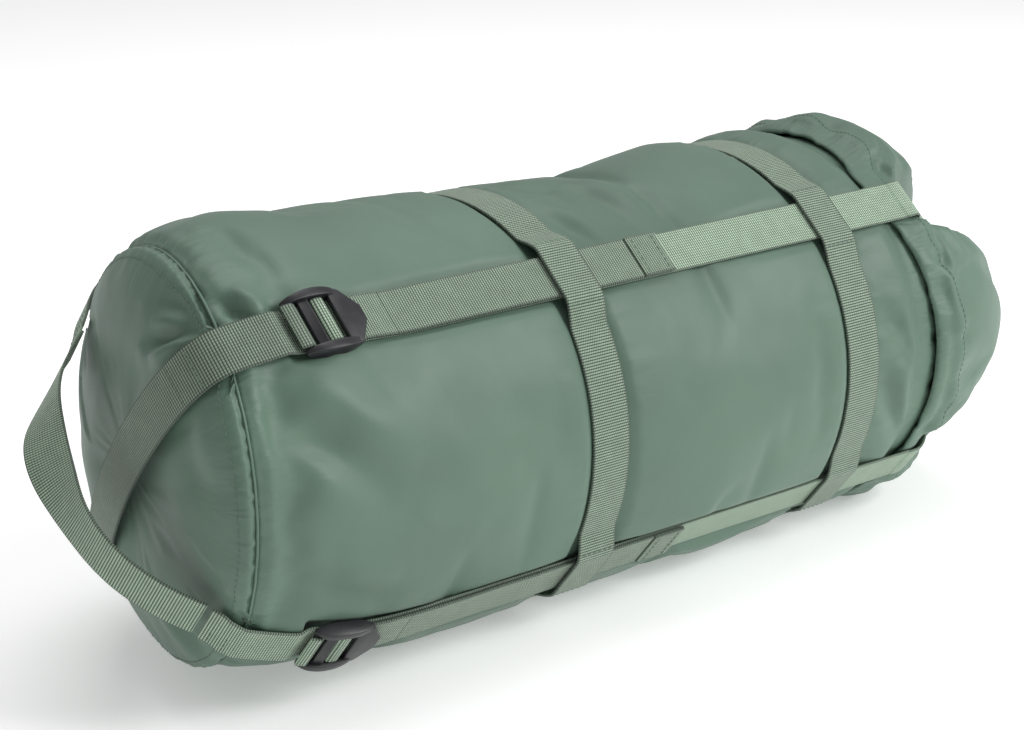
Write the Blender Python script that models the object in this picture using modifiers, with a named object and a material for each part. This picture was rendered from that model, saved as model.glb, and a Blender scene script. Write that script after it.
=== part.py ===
"""Compression sack lying on its side: a round-bottomed fabric sack, a sliding lid cap, four
webbing compression straps with ladder-lock buckles, two keeper bands and a carry handle.

Metres, +Z up, +X from the base to the lid. The origin is on the floor under the middle.
"""

import math

import bmesh
import bpy
from mathutils import Matrix, Vector

# Driving dimensions
WEB_WIDTH = 0.025  # every strap, band and the handle is 25 mm webbing
WEB = 0.0015  # thickness of the webbing
GAP = 0.0004  # between neighbouring pieces
RIM_GAP = 0.0012  # between the base panel and the side wall, under the seam binding
SKIN = 0.0022  # thickness of the coated nylon walls
COLLAR_SKIN = 0.0018
SACK_RADIUS = 0.1145
AXIS_Z = 0.1095  # height of the sack's axis, low enough to flatten its underside
SEAM_X = -0.260  # base seam, at the axis
SEAM_RADIUS = 0.1055
DOME = 0.032  # how far the base panel bulges past its seam
BAND_X = (-0.065, 0.130)  # middle of each keeper band
BAND_PINCH = 0.0016  # how far a band draws the sack in
MOUTH_X = 0.194  # end of the sack's side wall
LID_RIM_X = 0.1965
LID_RADIUS = 0.1150
LID_LENGTH = 0.1262  # from the rim to the crown
BUCKLE_X = -0.227  # rear bar of each buckle, along the sack
TAIL_HEM_X = 0.005  # free end of each strap's tail
TAIL_HEM = 0.022  # length of the folded hem there

# The base end of the sack lifts off the floor and its seam leans round the vertical
LEAN = 0.20
RISE = 0.010
LEAN_START = -0.165

# Directions round the axis, in degrees above the horizontal on the near side
STRAPS = {
    "front_upper": 48.0,
    "front_lower": -39.5,
    "rear_lower": -132.0,
    "rear_upper": 140.5,
}

# Ladder-lock buckle, in its own frame: +X towards its tab, +Y out of the sack
BAR_RADIUS = 0.0017
BAR_HEIGHT = 0.0049  # of the rear bar's axis above the fabric
UNDER = -BAR_HEIGHT + 0.0009 + WEB / 2  # middle of the webbing that lies under the buckle
BINDING = 0.0028  # room for the seam binding under the webbing
CHEEK = 0.0032
TAB_START = 0.0226
TAB_TIP = 0.0375
ROLL_BAR = (0.0132, 0.0183)  # the bar that the strap turns back over

# Carry handle
HANDLE_LEAVES = 0.088  # distance from the axis where its loop leaves the base
HANDLE_REACH = -0.3269  # furthest point of the loop, level with the lid's webbing at the other end
HANDLE_LIFT = 0.0055  # clearance of the loop's ends above the base panel
HANDLE_GAP = 0.003

STEPS = 40  # facets round the sack
FLAT = 1e-6


def clear_scene():
    for obj in list(bpy.data.objects):
        bpy.data.objects.remove(obj, do_unlink=True)


def new_collection(name):
    collection = bpy.data.collections.new(name)
    bpy.context.scene.collection.children.link(collection)
    return collection


def finish_material(name, colour, roughness, metallic=0.0):
    """A plain material in the piece's own colour."""
    material = bpy.data.materials.new(name)
    material.use_nodes = True
    shader = material.node_tree.nodes["Principled BSDF"]
    shader.inputs["Base Color"].default_value = (*colour, 1.0)
    shader.inputs["Roughness"].default_value = roughness
    shader.inputs["Metallic"].default_value = metallic
    material.diffuse_color = (*colour, 1.0)
    return material


def place(obj, collection, material):
    collection.objects.link(obj)
    if material and not obj.data.materials:
        obj.data.materials.append(material)
    return obj


def smooth(t):
    t = min(max(t, 0.0), 1.0)
    return t * t * (3.0 - 2.0 * t)


# ---------------------------------------------------------------- the sack's outer surface


def lean_weight(x):
    return smooth((LEAN_START - x) / (LEAN_START - SEAM_X))


def barrel(x):
    """Radius of the side wall at a station along the axis."""
    swell = min(max((x - SEAM_X) / 0.055, 0.0), 1.0)
    radius = SEAM_RADIUS + (SACK_RADIUS - SEAM_RADIUS) * math.sin(swell * math.pi / 2)
    for middle in BAND_X:
        radius -= BAND_PINCH * math.exp(-(((x - middle) / 0.02) ** 2))
    return radius


def leaned(point):
    """Where a point of the straight sack goes when the base end leans and lifts."""
    weight = lean_weight(point.x)
    return Vector((point.x + LEAN * point.y * weight, point.y, point.z + RISE * weight))


def wall_point(x, angle):
    """(along, out) of the side wall in the plane through the axis at this angle."""
    rise = RISE * lean_weight(x)
    out = rise * math.sin(angle) + math.sqrt(barrel(x) ** 2 - (rise * math.cos(angle)) ** 2)
    return Vector((x - LEAN * out * math.cos(angle) * lean_weight(x), out))


def base_points(angle, count):
    """(along, out) points over the base panel, in the plane at this angle."""
    half = math.sqrt(SEAM_RADIUS**2 - (RISE * math.cos(angle)) ** 2)
    points = []
    for step in range(count + 1):
        out = RISE * math.sin(angle) + half * math.cos(math.pi * step / count)
        y = -out * math.cos(angle)
        z = out * math.sin(angle) - RISE
        bulge = max(1.0 - (y * y + z * z) / SEAM_RADIUS**2, 0.0)
        points.append(Vector((SEAM_X - DOME * math.sqrt(bulge) + LEAN * y, out)))
    return points


def lid_out(x):
    """Radius of the lid at a station."""
    along = (x - LID_RIM_X) / LID_LENGTH
    return LID_RADIUS * math.sqrt(max(1.0 - max(along, 0.0) ** 2.2, 0.0))


# ---------------------------------------------------------------- ways of making a solid


def turned(name, profile, steps=STEPS):
    """Mesh of a profile of (x, radius) points turned round the sack's axis."""
    mesh = bpy.data.meshes.new(name)
    vertices = [(radius, 0.0, x) for x, radius in profile]
    mesh.from_pydata(vertices, [(i, i + 1) for i in range(len(profile) - 1)], [])
    guide = bpy.data.objects.new(name + "_profile", mesh)
    bpy.context.scene.collection.objects.link(guide)
    screw = guide.modifiers.new("Turn", "SCREW")
    screw.steps = steps
    screw.render_steps = steps
    screw.use_merge_vertices = True
    screw.merge_threshold = 0.00001
    guide.rotation_euler = (0.0, math.pi / 2, 0.0)
    bpy.context.view_layer.update()
    made = bpy.data.meshes.new_from_object(guide.evaluated_get(bpy.context.evaluated_depsgraph_get()))
    made.transform(guide.matrix_world)
    made.name = name
    bpy.data.objects.remove(guide, do_unlink=True)
    return made


def settle(mesh, floor):
    """Leans the base end, sets the axis at its height and flattens what would go below the floor."""
    for vertex in mesh.vertices:
        vertex.co = leaned(vertex.co)
        vertex.co.z = max(vertex.co.z + AXIS_Z, floor)
    mesh.shade_smooth()


def shell(name, profile, floor, thickness, collection, material):
    """A fabric shell: a turned surface settled on the floor, given its thickness inwards."""
    mesh = turned(name, profile)
    settle(mesh, floor)
    obj = place(bpy.data.objects.new(name, mesh), collection, material)
    solidify = obj.modifiers.new("Wall", "SOLIDIFY")
    solidify.thickness = thickness
    solidify.offset = -1.0
    return obj


def outline_curve(name, outlines, thickness):
    """A flat outline, with holes where it has several loops, as a 2D curve."""
    curve = bpy.data.curves.new(name, "CURVE")
    curve.dimensions = "2D"
    curve.fill_mode = "BOTH"
    curve.extrude = thickness / 2
    for outline in outlines:
        spline = curve.splines.new("POLY")
        spline.points.add(len(outline) - 1)
        for point, (x, y) in zip(spline.points, outline):
            point.co = (x, y, 0.0, 1.0)
        spline.use_cyclic_u = True
    return curve


def mesh_of(curve, matrix=None):
    """The curve as a mesh with its caps welded."""
    guide = bpy.data.objects.new(curve.name + "_guide", curve)
    bpy.context.scene.collection.objects.link(guide)
    bpy.context.view_layer.update()
    mesh = bpy.data.meshes.new_from_object(guide.evaluated_get(bpy.context.evaluated_depsgraph_get()))
    work = bmesh.new()
    work.from_mesh(mesh)
    bmesh.ops.remove_doubles(work, verts=work.verts, dist=FLAT)
    bmesh.ops.recalc_face_normals(work, faces=work.faces)
    work.to_mesh(mesh)
    work.free()
    if matrix:
        mesh.transform(matrix)
    bpy.data.objects.remove(guide, do_unlink=True)
    return mesh


def band_sides(line, thickness):
    """The closed outline of a strip of this thickness along a line of points."""
    left = []
    right = []
    for index, point in enumerate(line):
        before = line[max(index - 1, 0)]
        after = line[min(index + 1, len(line) - 1)]
        first = (point - before).normalized() if index else (after - point).normalized()
        second = (after - point).normalized() if index < len(line) - 1 else first
        along = (first + second).normalized()
        across = Vector((-along.y, along.x)) * (thickness / 2) / max(along.dot(first), 0.5)
        left.append(point + across)
        right.append(point - across)
    return left + right[::-1]


def ribbon(name, line, angle, collection, material, thickness=WEB, width=WEB_WIDTH):
    """Webbing that follows a line of (along, out) points in the plane at this angle."""
    curve = outline_curve(name, [band_sides(line, thickness)], width)
    obj = place(bpy.data.objects.new(name, curve), collection, material)
    obj.rotation_euler = (math.pi - angle, 0.0, 0.0)
    obj.location = (0.0, 0.0, AXIS_Z)
    return obj


def lifted(line, height):
    """The line moved out of the surface by a height."""
    moved = []
    for index, point in enumerate(line):
        before = line[max(index - 1, 0)]
        after = line[min(index + 1, len(line) - 1)]
        along = (after - before).normalized()
        moved.append(point + Vector((-along.y, along.x)) * height)
    return moved


def arc(centre, radius, start, end, count):
    points = []
    for step in range(count + 1):
        turn = math.radians(start + (end - start) * step / count)
        points.append(centre + Vector((math.cos(turn), math.sin(turn))) * radius)
    return points


# ---------------------------------------------------------------- fabric shells


def sack_body(collection, fabric):
    stations = [MOUTH_X, 0.192, 0.184, 0.160, 0.144, 0.130, 0.116, 0.09, 0.03]
    stations += [-0.03, -0.051, -0.065, -0.079, -0.12, -0.17, -0.20, -0.225, SEAM_X + RIM_GAP]
    profile = [(MOUTH_X - 0.0003, 0.098), (MOUTH_X, 0.106)]
    for x in stations[1:]:
        tuck = 0.0025 if x == 0.192 else 0.0
        profile.append((x, barrel(x) - tuck))
    return shell("body_panel", profile, 0.0022, SKIN, collection, fabric)


def base_panel(collection, fabric):
    profile = []
    for step in range(6):
        turn = math.pi / 2 * step / 5
        x = SEAM_X - RIM_GAP - (DOME - RIM_GAP) * math.sin(turn)
        profile.append((x, max(SEAM_RADIUS * math.cos(turn), 0.0)))
    return shell("base_panel", profile, 0.0022, SKIN, collection, fabric)


def ring(name, corners, floor, collection, material):
    """A ring with the closed section given by its (x, radius) corners."""
    mesh = turned(name, corners + corners[:1])
    settle(mesh, floor)
    work = bmesh.new()
    work.from_mesh(mesh)
    bmesh.ops.remove_doubles(work, verts=work.verts, dist=FLAT)
    bmesh.ops.recalc_face_normals(work, faces=work.faces)
    work.to_mesh(mesh)
    work.free()
    return place(bpy.data.objects.new(name, mesh), collection, material)


def seam_binding(collection, fabric):
    half = 0.0035
    corners = [(SEAM_X + half, SEAM_RADIUS + 0.0014), (SEAM_X + half, SEAM_RADIUS + 0.0023)]
    corners += [(SEAM_X - half, SEAM_RADIUS + 0.0018), (SEAM_X - half, SEAM_RADIUS + 0.0006)]
    return ring("base_seam_binding", corners, 0.0022, collection, fabric)


def mouth_collar(collection, cutters, fabric):
    """The gathered neck inside the lid, with its cord channel and two eyelet holes."""
    profile = [(0.2290, 0.0692), (0.2210, 0.0692), (0.2100, 0.0730)]
    profile += [(0.1985, 0.0945), (0.1950, 0.0965)]
    shell("mouth_collar", profile, SKIN, COLLAR_SKIN, collection, fabric)
    channel = ring(
        "drawcord_channel",
        [(0.2466, 0.0660), (0.2466, 0.0712), (0.2300, 0.0712), (0.2300, 0.0660)],
        0.0022,
        collection,
        fabric,
    )
    for side in (-1, 1):
        hole = bpy.data.meshes.new("eyelet_hole")
        work = bmesh.new()
        bmesh.ops.create_cone(
            work, cap_ends=True, segments=12, radius1=0.0026, radius2=0.0026, depth=0.006
        )
        work.to_mesh(hole)
        work.free()
        cutter = place(bpy.data.objects.new("eyelet_cutter", hole), cutters, None)
        cutter.location = eyelet_point(side, 0.0712)
        cutter.hide_render = True
        cutter.display_type = "WIRE"
        cutter.rotation_euler = (eyelet_turn(side), 0.0, 0.0)
        cut = channel.modifiers.new("Eyelet", "BOOLEAN")
        cut.operation = "DIFFERENCE"
        cut.solver = "EXACT"
        cut.object = cutter


def eyelet_turn(side):
    """Eyelets sit either side of the top of the channel, facing outwards."""
    return -side * math.radians(9.0)


def eyelet_point(side, radius):
    turn = eyelet_turn(side)
    return (0.2386, -math.sin(turn) * radius, AXIS_Z + math.cos(turn) * radius)


def eyelets(collection, metal):
    for index, side in enumerate((-1, 1)):
        profile = [(0.0030, 0.0), (0.0046, 0.0), (0.0046, 0.0009), (0.0030, 0.0011)]
        mesh = bpy.data.meshes.new("eyelet")
        mesh.from_pydata(
            [(radius, 0.0, height) for radius, height in profile],
            [(i, (i + 1) % 4) for i in range(4)],
            [],
        )
        name = f"drawcord_eyelet_{index + 1}"
        eyelet = place(bpy.data.objects.new(name, mesh), collection, metal)
        screw = eyelet.modifiers.new("Turn", "SCREW")
        screw.steps = 16
        screw.render_steps = 16
        screw.use_merge_vertices = True
        screw.merge_threshold = 0.00001
        screw.use_normal_flip = True
        eyelet.location = eyelet_point(side, 0.0712 + GAP)
        eyelet.rotation_euler = (eyelet_turn(side), 0.0, 0.0)


def lid_parts(collection, fabric):
    profile = [(LID_RIM_X + LID_LENGTH, 0.0)]
    for part in (0.97, 0.88, 0.74, 0.56, 0.36, 0.16, 0.0):
        x = LID_RIM_X + LID_LENGTH * part
        profile.append((x, lid_out(x)))
    shell("lid_crown", profile, 0.0004, SKIN, collection, fabric)
    facing = LID_RADIUS - SKIN - 0.0006
    low = LID_RIM_X + 0.001
    corners = [(low + 0.019, facing - 0.0030), (low + 0.019, facing - 0.0016)]
    corners += [(low, facing), (low, facing - 0.0014)]
    ring("lid_hem_facing", corners, 0.0044, collection, fabric)


def lid_webs(collection, webbing):
    """The two lengths of webbing that cross on the crown and carry on as the side straps."""
    for index, name in enumerate(("front_lower", "front_upper")):
        angle = math.radians(STRAPS[name])
        line = [Vector((LID_RIM_X - 0.002, LID_RADIUS))]
        for step in range(25):
            turn = math.pi * step / 24
            along = math.sin(turn) ** (2 / 2.2)
            line.append(Vector((LID_RIM_X + LID_LENGTH * along, LID_RADIUS * math.cos(turn))))
        line.append(Vector((LID_RIM_X - 0.002, -LID_RADIUS)))
        height = 2 * GAP + WEB / 2
        cross = WEB + 3 * GAP
        raised = []
        for point, above in zip(line, lifted(line, height + cross)):
            near = smooth(2.4 - abs(point.y) / 0.012) if index else 0.0
            raised.append(point.lerp(above, (height + near * cross) / (height + cross)))
        ribbon(f"lid_web_{index + 1}", raised, angle, collection, webbing)


# ---------------------------------------------------------------- keeper bands


def band_outline(low, high, floor):
    """Closed ring outline that steps out to pass over each strap."""
    step_in = 10.8
    step_flat = 6.6
    points = []
    for angle in sorted(STRAPS.values()):
        for offset in (-step_in, -step_flat, step_flat, step_in):
            turn = math.radians(angle + offset)
            raised = abs(offset) == step_flat
            radius = high / math.cos(math.radians(offset)) if raised else low
            points.append((turn, radius))
        for part in range(1, 11):
            turn = math.radians(angle + step_in + (90 - 2 * step_in) * part / 11)
            points.append((turn, low))
    return [
        Vector((-radius * math.cos(turn), max(radius * math.sin(turn) + AXIS_Z, floor)))
        for turn, radius in points
    ]


def keeper_bands(collection, webbing):
    inner = SACK_RADIUS - BAND_PINCH + 0.0011
    tunnel = SACK_RADIUS + GAP + 2 * WEB + 0.0024 + GAP
    for index, middle in enumerate(BAND_X):
        outlines = [
            band_outline(inner + WEB, tunnel + WEB, 0.0),
            band_outline(inner, tunnel, WEB),
        ]
        name = f"keeper_band_{index + 1}"
        curve = outline_curve(name, outlines, WEB_WIDTH)
        band = place(bpy.data.objects.new(name, curve), collection, webbing)
        band.matrix_world = Matrix.Translation((middle, 0, 0)) @ Matrix(
            ((0, 0, 1, 0), (1, 0, 0, 0), (0, 1, 0, 0), (0, 0, 0, 1))
        )


# ---------------------------------------------------------------- buckles and webbing


def buckle_frame(angle):
    """Rear bar centre and the unit vectors along and out of the buckle, as (along, out)."""
    rear = wall_point(BUCKLE_X, angle)
    front = wall_point(BUCKLE_X + TAB_START, angle)
    along = (front - rear).normalized()
    out = Vector((-along.y, along.x))
    return rear + out * BAR_HEIGHT, along, out


def buckle_point(angle, along, out):
    centre, forward, outward = buckle_frame(angle)
    return centre + forward * along + outward * out


def world_point(flat, angle):
    """World position of an (along, out) point of the plane at this angle."""
    y = -flat.y * math.cos(angle)
    z = flat.y * math.sin(angle)
    return Vector((flat.x, y, z + AXIS_Z))


def prism(name, outline, middle, thickness, upright=True):
    """A closed prism: an outline in the buckle's side view or, if not upright, in its plan."""
    turn = Matrix.Translation((0, 0, middle))
    if not upright:
        turn = Matrix.Translation((0, middle, 0)) @ Matrix.Rotation(math.pi / 2, 4, "X")
    return mesh_of(outline_curve(name, [outline], thickness), turn)


def buckle_mesh(cutters):
    """Ladder-lock buckle: two cheeks, a rear bar, a cross bar, a roll bar and a tab."""
    cheek = [Vector((-0.0021, -0.0021)), Vector((0.0068, -0.0029)), Vector((0.0187, -0.0029))]
    cheek += [Vector((0.0281, -0.0012)), Vector((0.0309, 0.0006)), Vector((0.0264, 0.0036))]
    cheek += [Vector((0.0187, 0.0052)), Vector((0.0094, 0.0052)), Vector((0.0018, 0.0036))]
    cheek += [Vector((-0.0022, 0.0020)), Vector((-0.0030, 0.0))]
    inside = WEB_WIDTH / 2 + GAP
    pieces = []
    for side in (-1, 1):
        pieces.append(prism("cheek", cheek, side * (inside + CHEEK / 2), CHEEK))
    width = 2 * inside + CHEEK
    rear = arc(Vector((0.0, 0.0)), BAR_RADIUS, 0, 330, 11)
    pieces.append(prism("rear_bar", rear, 0.0, width))
    cross = [Vector((0.0046, -0.0006)), Vector((0.0092, -0.0006)), Vector((0.0096, 0.0020))]
    cross += [Vector((0.0076, 0.0034)), Vector((0.0046, 0.0024))]
    pieces.append(prism("cross_bar", cross, 0.0, width))
    low, high = ROLL_BAR
    roll = [Vector((low, -0.0010)), Vector((high, -0.0010)), Vector((high, 0.0008))]
    roll += [Vector((high - 0.001, 0.0016)), Vector((low + 0.001, 0.0016)), Vector((low, 0.0008))]
    pieces.append(prism("roll_bar", roll, 0.0, width))
    wide = inside + CHEEK - 0.0003
    tab = [Vector((TAB_START, -wide)), Vector((0.0290, -wide)), Vector((TAB_TIP, -0.0055))]
    tab += [Vector((TAB_TIP, 0.0055)), Vector((0.0290, wide)), Vector((TAB_START, wide))]
    pieces.append(prism("tab", tab, 0.0020, 0.0024, upright=False))

    whole = bpy.data.objects.new("buckle_blank", pieces[0])
    bpy.context.scene.collection.objects.link(whole)
    for mesh in pieces[1:]:
        tool = place(bpy.data.objects.new("buckle_tool", mesh), cutters, None)
        tool.hide_render = True
        tool.display_type = "WIRE"
        join = whole.modifiers.new("Join", "BOOLEAN")
        join.operation = "UNION"
        join.solver = "EXACT"
        join.object = tool
    bpy.context.view_layer.update()
    graph = bpy.context.evaluated_depsgraph_get()
    made = bpy.data.meshes.new_from_object(whole.evaluated_get(graph))
    bpy.data.objects.remove(whole, do_unlink=True)
    return made


def buckles(collection, cutters, plastic):
    blank = buckle_mesh(cutters)
    blank.materials.clear()
    blank.materials.append(plastic)
    for name, degrees in STRAPS.items():
        angle = math.radians(degrees)
        centre, along, _ = buckle_frame(angle)
        buckle = place(bpy.data.objects.new("buckle_" + name, blank), collection, None)
        tilt = Matrix.Rotation(math.atan2(along.y, along.x), 4, "Z")
        lie = Matrix.Rotation(math.pi - angle, 4, "X")
        buckle.matrix_world = Matrix.Translation(world_point(centre, angle)) @ lie @ tilt


def strap_rolls(collection, webbing):
    """The turn of each strap over its buckle's roll bar."""
    low, high = ROLL_BAR
    off = GAP + WEB / 2
    for name, degrees in STRAPS.items():
        angle = math.radians(degrees)
        route = [(low - off, -0.0020), (low - off, 0.0008), (low, 0.0016 + off)]
        route += [(high, 0.0016 + off), (high + off, 0.0008), (high + off, -0.0003)]
        line = [buckle_point(angle, along, out) for along, out in route]
        ribbon("strap_roll_" + name, line, angle, collection, webbing)


def side_line(angle, start, end, height):
    """A line above the side wall between two stations, pulled straight between them."""
    count = 5
    points = []
    for step in range(count + 1):
        x = start + (end - start) * step / count
        points.append(Vector((x, max(wall_point(x, angle).y, SACK_RADIUS) + height)))
    return points


def straps(collection, webbing):
    """Side runs from each buckle to the lid, and the tails that lie on them."""
    for name, degrees in STRAPS.items():
        angle = math.radians(degrees)
        under = GAP + WEB / 2
        low, high = ROLL_BAR
        first = buckle_point(angle, low - GAP - WEB, UNDER)
        second = buckle_point(angle, TAB_TIP, UNDER)
        run = [first, second] + side_line(angle, -0.165, LID_RIM_X - 0.003, under)
        run.insert(-1, Vector((0.18, SACK_RADIUS + under)))
        ribbon("strap_" + name, run, angle, collection, webbing)

        over = under + WEB + GAP
        first = buckle_point(angle, high + GAP, UNDER + WEB + GAP)
        second = buckle_point(angle, TAB_TIP, UNDER + WEB + GAP)
        hem_start = TAIL_HEM_X - TAIL_HEM
        tail = [first, second] + side_line(angle, -0.165, hem_start - GAP, over)
        ribbon("tail_" + name, tail, angle, collection, webbing)

        hem_thick = 0.0024
        rest = SACK_RADIUS + GAP + WEB + GAP + hem_thick / 2
        hem = [Vector((hem_start, rest)), Vector((TAIL_HEM_X, rest))]
        ribbon("tail_hem_" + name, hem, angle, collection, webbing, thickness=hem_thick)


def bar_loop(angle):
    """Webbing from the fabric round a buckle's rear bar and back on top of itself."""
    off = BAR_RADIUS + GAP + WEB / 2
    local = [Vector((-0.011, UNDER + 0.0022)), Vector((-0.005, -off))]
    local += arc(Vector((0.0, 0.0)), off, -90, 90, 6)
    local += [Vector((-0.005, off - 0.0012)), Vector((-0.011, UNDER + 0.0022 + WEB + GAP))]
    return [buckle_point(angle, point.x, point.y) for point in local]


def over_seam(angle):
    """The point where webbing that leaves a bar loop passes over the seam binding."""
    return wall_point(SEAM_X, angle) + Vector((-0.0035, BINDING + GAP + WEB / 2))


def mirrored(line):
    return [Vector((point.x, -point.y)) for point in line]


def base_strap(collection, webbing):
    """Webbing from one buckle across the base to the opposite one, looped round both bars."""
    angle = math.radians(STRAPS["front_upper"])
    opposite = math.radians(STRAPS["rear_lower"])
    over = lifted(base_points(angle, 14), -GAP - WEB / 2 - BINDING)[1:-1]
    first = bar_loop(angle)[::-1][1:] + [over_seam(angle)]
    second = mirrored([over_seam(opposite)] + bar_loop(opposite)[:-1])
    line = first + over + second
    ribbon("base_strap", line, angle, collection, webbing)


def handle_parts(collection, webbing):
    """The two sewn ends that hold the lower and upper buckles, and the loop between them."""
    angle = math.radians(STRAPS["front_lower"])
    opposite = math.radians(STRAPS["rear_upper"])
    over = lifted(base_points(angle, 28), -GAP - WEB / 2 - BINDING)
    near = [point for point in over[2:] if point.y > HANDLE_LEAVES + 0.004]
    far = [point for point in over[:-2] if point.y < -HANDLE_LEAVES - 0.004]
    start, end = handle_ends()
    near.append(start + Vector((0.0012, HANDLE_GAP)))
    far.insert(0, end + Vector((0.0012, -HANDLE_GAP)))
    near = bar_loop(angle)[::-1][1:] + [over_seam(angle)] + near
    far = far + mirrored([over_seam(opposite)] + bar_loop(opposite)[:-1])
    ribbon("handle_end_front", near, angle, collection, webbing)
    ribbon("handle_end_rear", far, angle, collection, webbing)
    loop = []
    for step in range(15):
        part = step / 14
        chord = start.lerp(end, part)
        bow = (start.x + end.x) / 2 - HANDLE_REACH - WEB / 2
        loop.append(chord - Vector((bow * (1.0 - abs(2.0 * part - 1.0) ** 2.4), 0.0)))
    ribbon("carry_handle", loop, angle, collection, webbing)


def handle_ends():
    """(along, out) of the two ends of the handle's loop."""
    angle = math.radians(STRAPS["front_lower"])
    over = lifted(base_points(angle, 60), -HANDLE_LIFT)
    start = min(over, key=lambda point: abs(point.y - HANDLE_LEAVES))
    end = min(over, key=lambda point: abs(point.y + HANDLE_LEAVES))
    return start, end


def main():
    clear_scene()
    parts = new_collection("compression_sack")
    cutters = new_collection("cutters")
    fabric = finish_material("coated_nylon", (0.110, 0.175, 0.135), 0.48)
    webbing = finish_material("polyester_webbing", (0.170, 0.235, 0.180), 0.75)
    plastic = finish_material("moulded_acetal", (0.018, 0.018, 0.020), 0.38)
    metal = finish_material("eyelet_brass", (0.30, 0.29, 0.27), 0.35, metallic=1.0)

    sack_body(parts, fabric)
    base_panel(parts, fabric)
    seam_binding(parts, fabric)
    mouth_collar(parts, cutters, fabric)
    eyelets(parts, metal)
    lid_parts(parts, fabric)
    lid_webs(parts, webbing)
    keeper_bands(parts, webbing)
    buckles(parts, cutters, plastic)
    strap_rolls(parts, webbing)
    straps(parts, webbing)
    base_strap(parts, webbing)
    handle_parts(parts, webbing)


main()
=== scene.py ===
"""Compression sack: the stuffed fabric, webbing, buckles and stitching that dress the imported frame."""

import math

import bpy
import numpy as np
from mathutils import Matrix, Vector
from mathutils.bvhtree import BVHTree


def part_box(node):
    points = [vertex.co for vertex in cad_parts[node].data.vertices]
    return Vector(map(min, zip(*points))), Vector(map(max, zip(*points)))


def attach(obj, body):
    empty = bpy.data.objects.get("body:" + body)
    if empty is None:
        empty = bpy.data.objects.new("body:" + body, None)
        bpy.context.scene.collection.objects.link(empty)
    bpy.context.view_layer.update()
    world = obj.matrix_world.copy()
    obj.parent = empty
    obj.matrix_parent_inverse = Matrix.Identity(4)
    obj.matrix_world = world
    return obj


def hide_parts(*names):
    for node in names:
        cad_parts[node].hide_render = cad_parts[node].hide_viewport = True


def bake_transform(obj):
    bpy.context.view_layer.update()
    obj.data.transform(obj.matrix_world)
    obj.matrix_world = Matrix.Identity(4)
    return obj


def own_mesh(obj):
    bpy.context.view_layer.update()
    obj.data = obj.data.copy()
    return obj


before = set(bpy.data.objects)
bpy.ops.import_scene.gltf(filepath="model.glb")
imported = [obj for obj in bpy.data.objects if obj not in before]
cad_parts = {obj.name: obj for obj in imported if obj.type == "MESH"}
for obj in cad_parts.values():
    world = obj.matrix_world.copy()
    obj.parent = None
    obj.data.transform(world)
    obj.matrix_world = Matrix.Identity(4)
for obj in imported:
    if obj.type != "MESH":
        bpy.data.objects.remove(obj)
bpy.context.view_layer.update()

bl_info = {
    "name": "Compression sack",
    "version": (1, 0, 0),
    "blender": (4, 5, 0),
    "location": "View3D > Sidebar > Sack",
    "description": "Builds the fabric, webbing and hardware of a compression sack",
    "category": "Object",
}

# ---------------------------------------------------------------- sizes, read from the frame

MOUTH_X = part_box("body_panel")[1][0]
LID_RIM_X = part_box("lid_crown")[0][0]
LID_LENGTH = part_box("lid_crown")[1][0] - LID_RIM_X
LID_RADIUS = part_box("lid_crown")[1][1]
BAND_X = [sum(corner[0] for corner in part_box(f"keeper_band_{i}")) / 2 for i in (1, 2)]
WEB_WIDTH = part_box("keeper_band_1")[1][0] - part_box("keeper_band_1")[0][0]
HEM_X = (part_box("tail_hem_front_upper")[0][0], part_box("tail_hem_front_upper")[1][0])
HANDLE_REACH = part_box("carry_handle")[0][0]

WEB = 0.0015  # thickness of the webbing
WEB_STEP = 0.0028  # spacing of the points along it
HALF_WEB = 0.0125
PRESSED = 0.0128  # half the width of cloth that a strap or band holds down
HEM_THICKNESS = 0.0024  # of a folded tail
THREAD_RADIUS = 0.00030
STITCH_SHIFTS = np.linspace(-0.0108, 0.0108, 14)  # places across the webbing where stitches are laid
GAP = 0.0004  # between neighbouring layers
SACK_RADIUS = 0.1145
AXIS_Z = 0.1095  # height of the sack's axis
SEAM_X = -0.260  # station of the base seam
SEAM_RADIUS = 0.1055
DOME = 0.032  # how far the base bulges past its seam
BAND_PINCH = 0.0016  # how far the bands draw the side wall in
LEAN = 0.20  # how far the base end leans round the vertical
RISE = 0.010  # how far the base end stands higher than the axis
LEAN_START = -0.165  # where the lean and the rise begin
BUCKLE_X = -0.227  # station of the buckles' rear bars
STRAPS = {  # angle of each strap round the axis, from the front
    "front_upper": math.radians(48.0),
    "front_lower": math.radians(-39.5),
    "rear_lower": math.radians(-132.0),
    "rear_upper": math.radians(140.5),
}
LID_WEBS = ("front_upper", "front_lower")  # the two straps that carry on over the lid
BAR_RADIUS = 0.0017  # of a buckle's rear bar
BAR_HEIGHT = 0.0049  # of that bar's middle over the side wall
UNDER = -BAR_HEIGHT + 0.0009 + WEB / 2  # height of the strap that runs under a buckle, from the bar
BINDING = 0.0028  # height of the base seam under the webbing
CHEEK = 0.0032  # thickness of a buckle's side rail
TAB_START = 0.0226  # a buckle's thumb tab, from the rear bar
TAB_TIP = 0.0375
ROLL_BAR = (0.0132, 0.0183)  # the bar that the strap turns over, from the rear bar
TAIL_FLAT = -0.178  # where the straps lie flat on the side wall, at the earliest
TAIL_SPLIT = -0.184  # where a tail stops following its buckle
HANDLE_LEAVES = 0.088  # distance from the axis where the handle's loop starts
HANDLE_LIFT = 0.0055  # height of those ends over the base
HANDLE_GAP = 0.003  # between the loop and the sewn ends
HANDLE_SKEW = 0.014  # how far the handle's near end is pulled off the line of its strap
LID_LAP = 0.0110  # how far the lid's rim laps over the side wall
LID_HEM = 0.020  # depth of its hem
LID_CINCH = 0.014  # how deep the crossing webs sink between the lid's lobes
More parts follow.
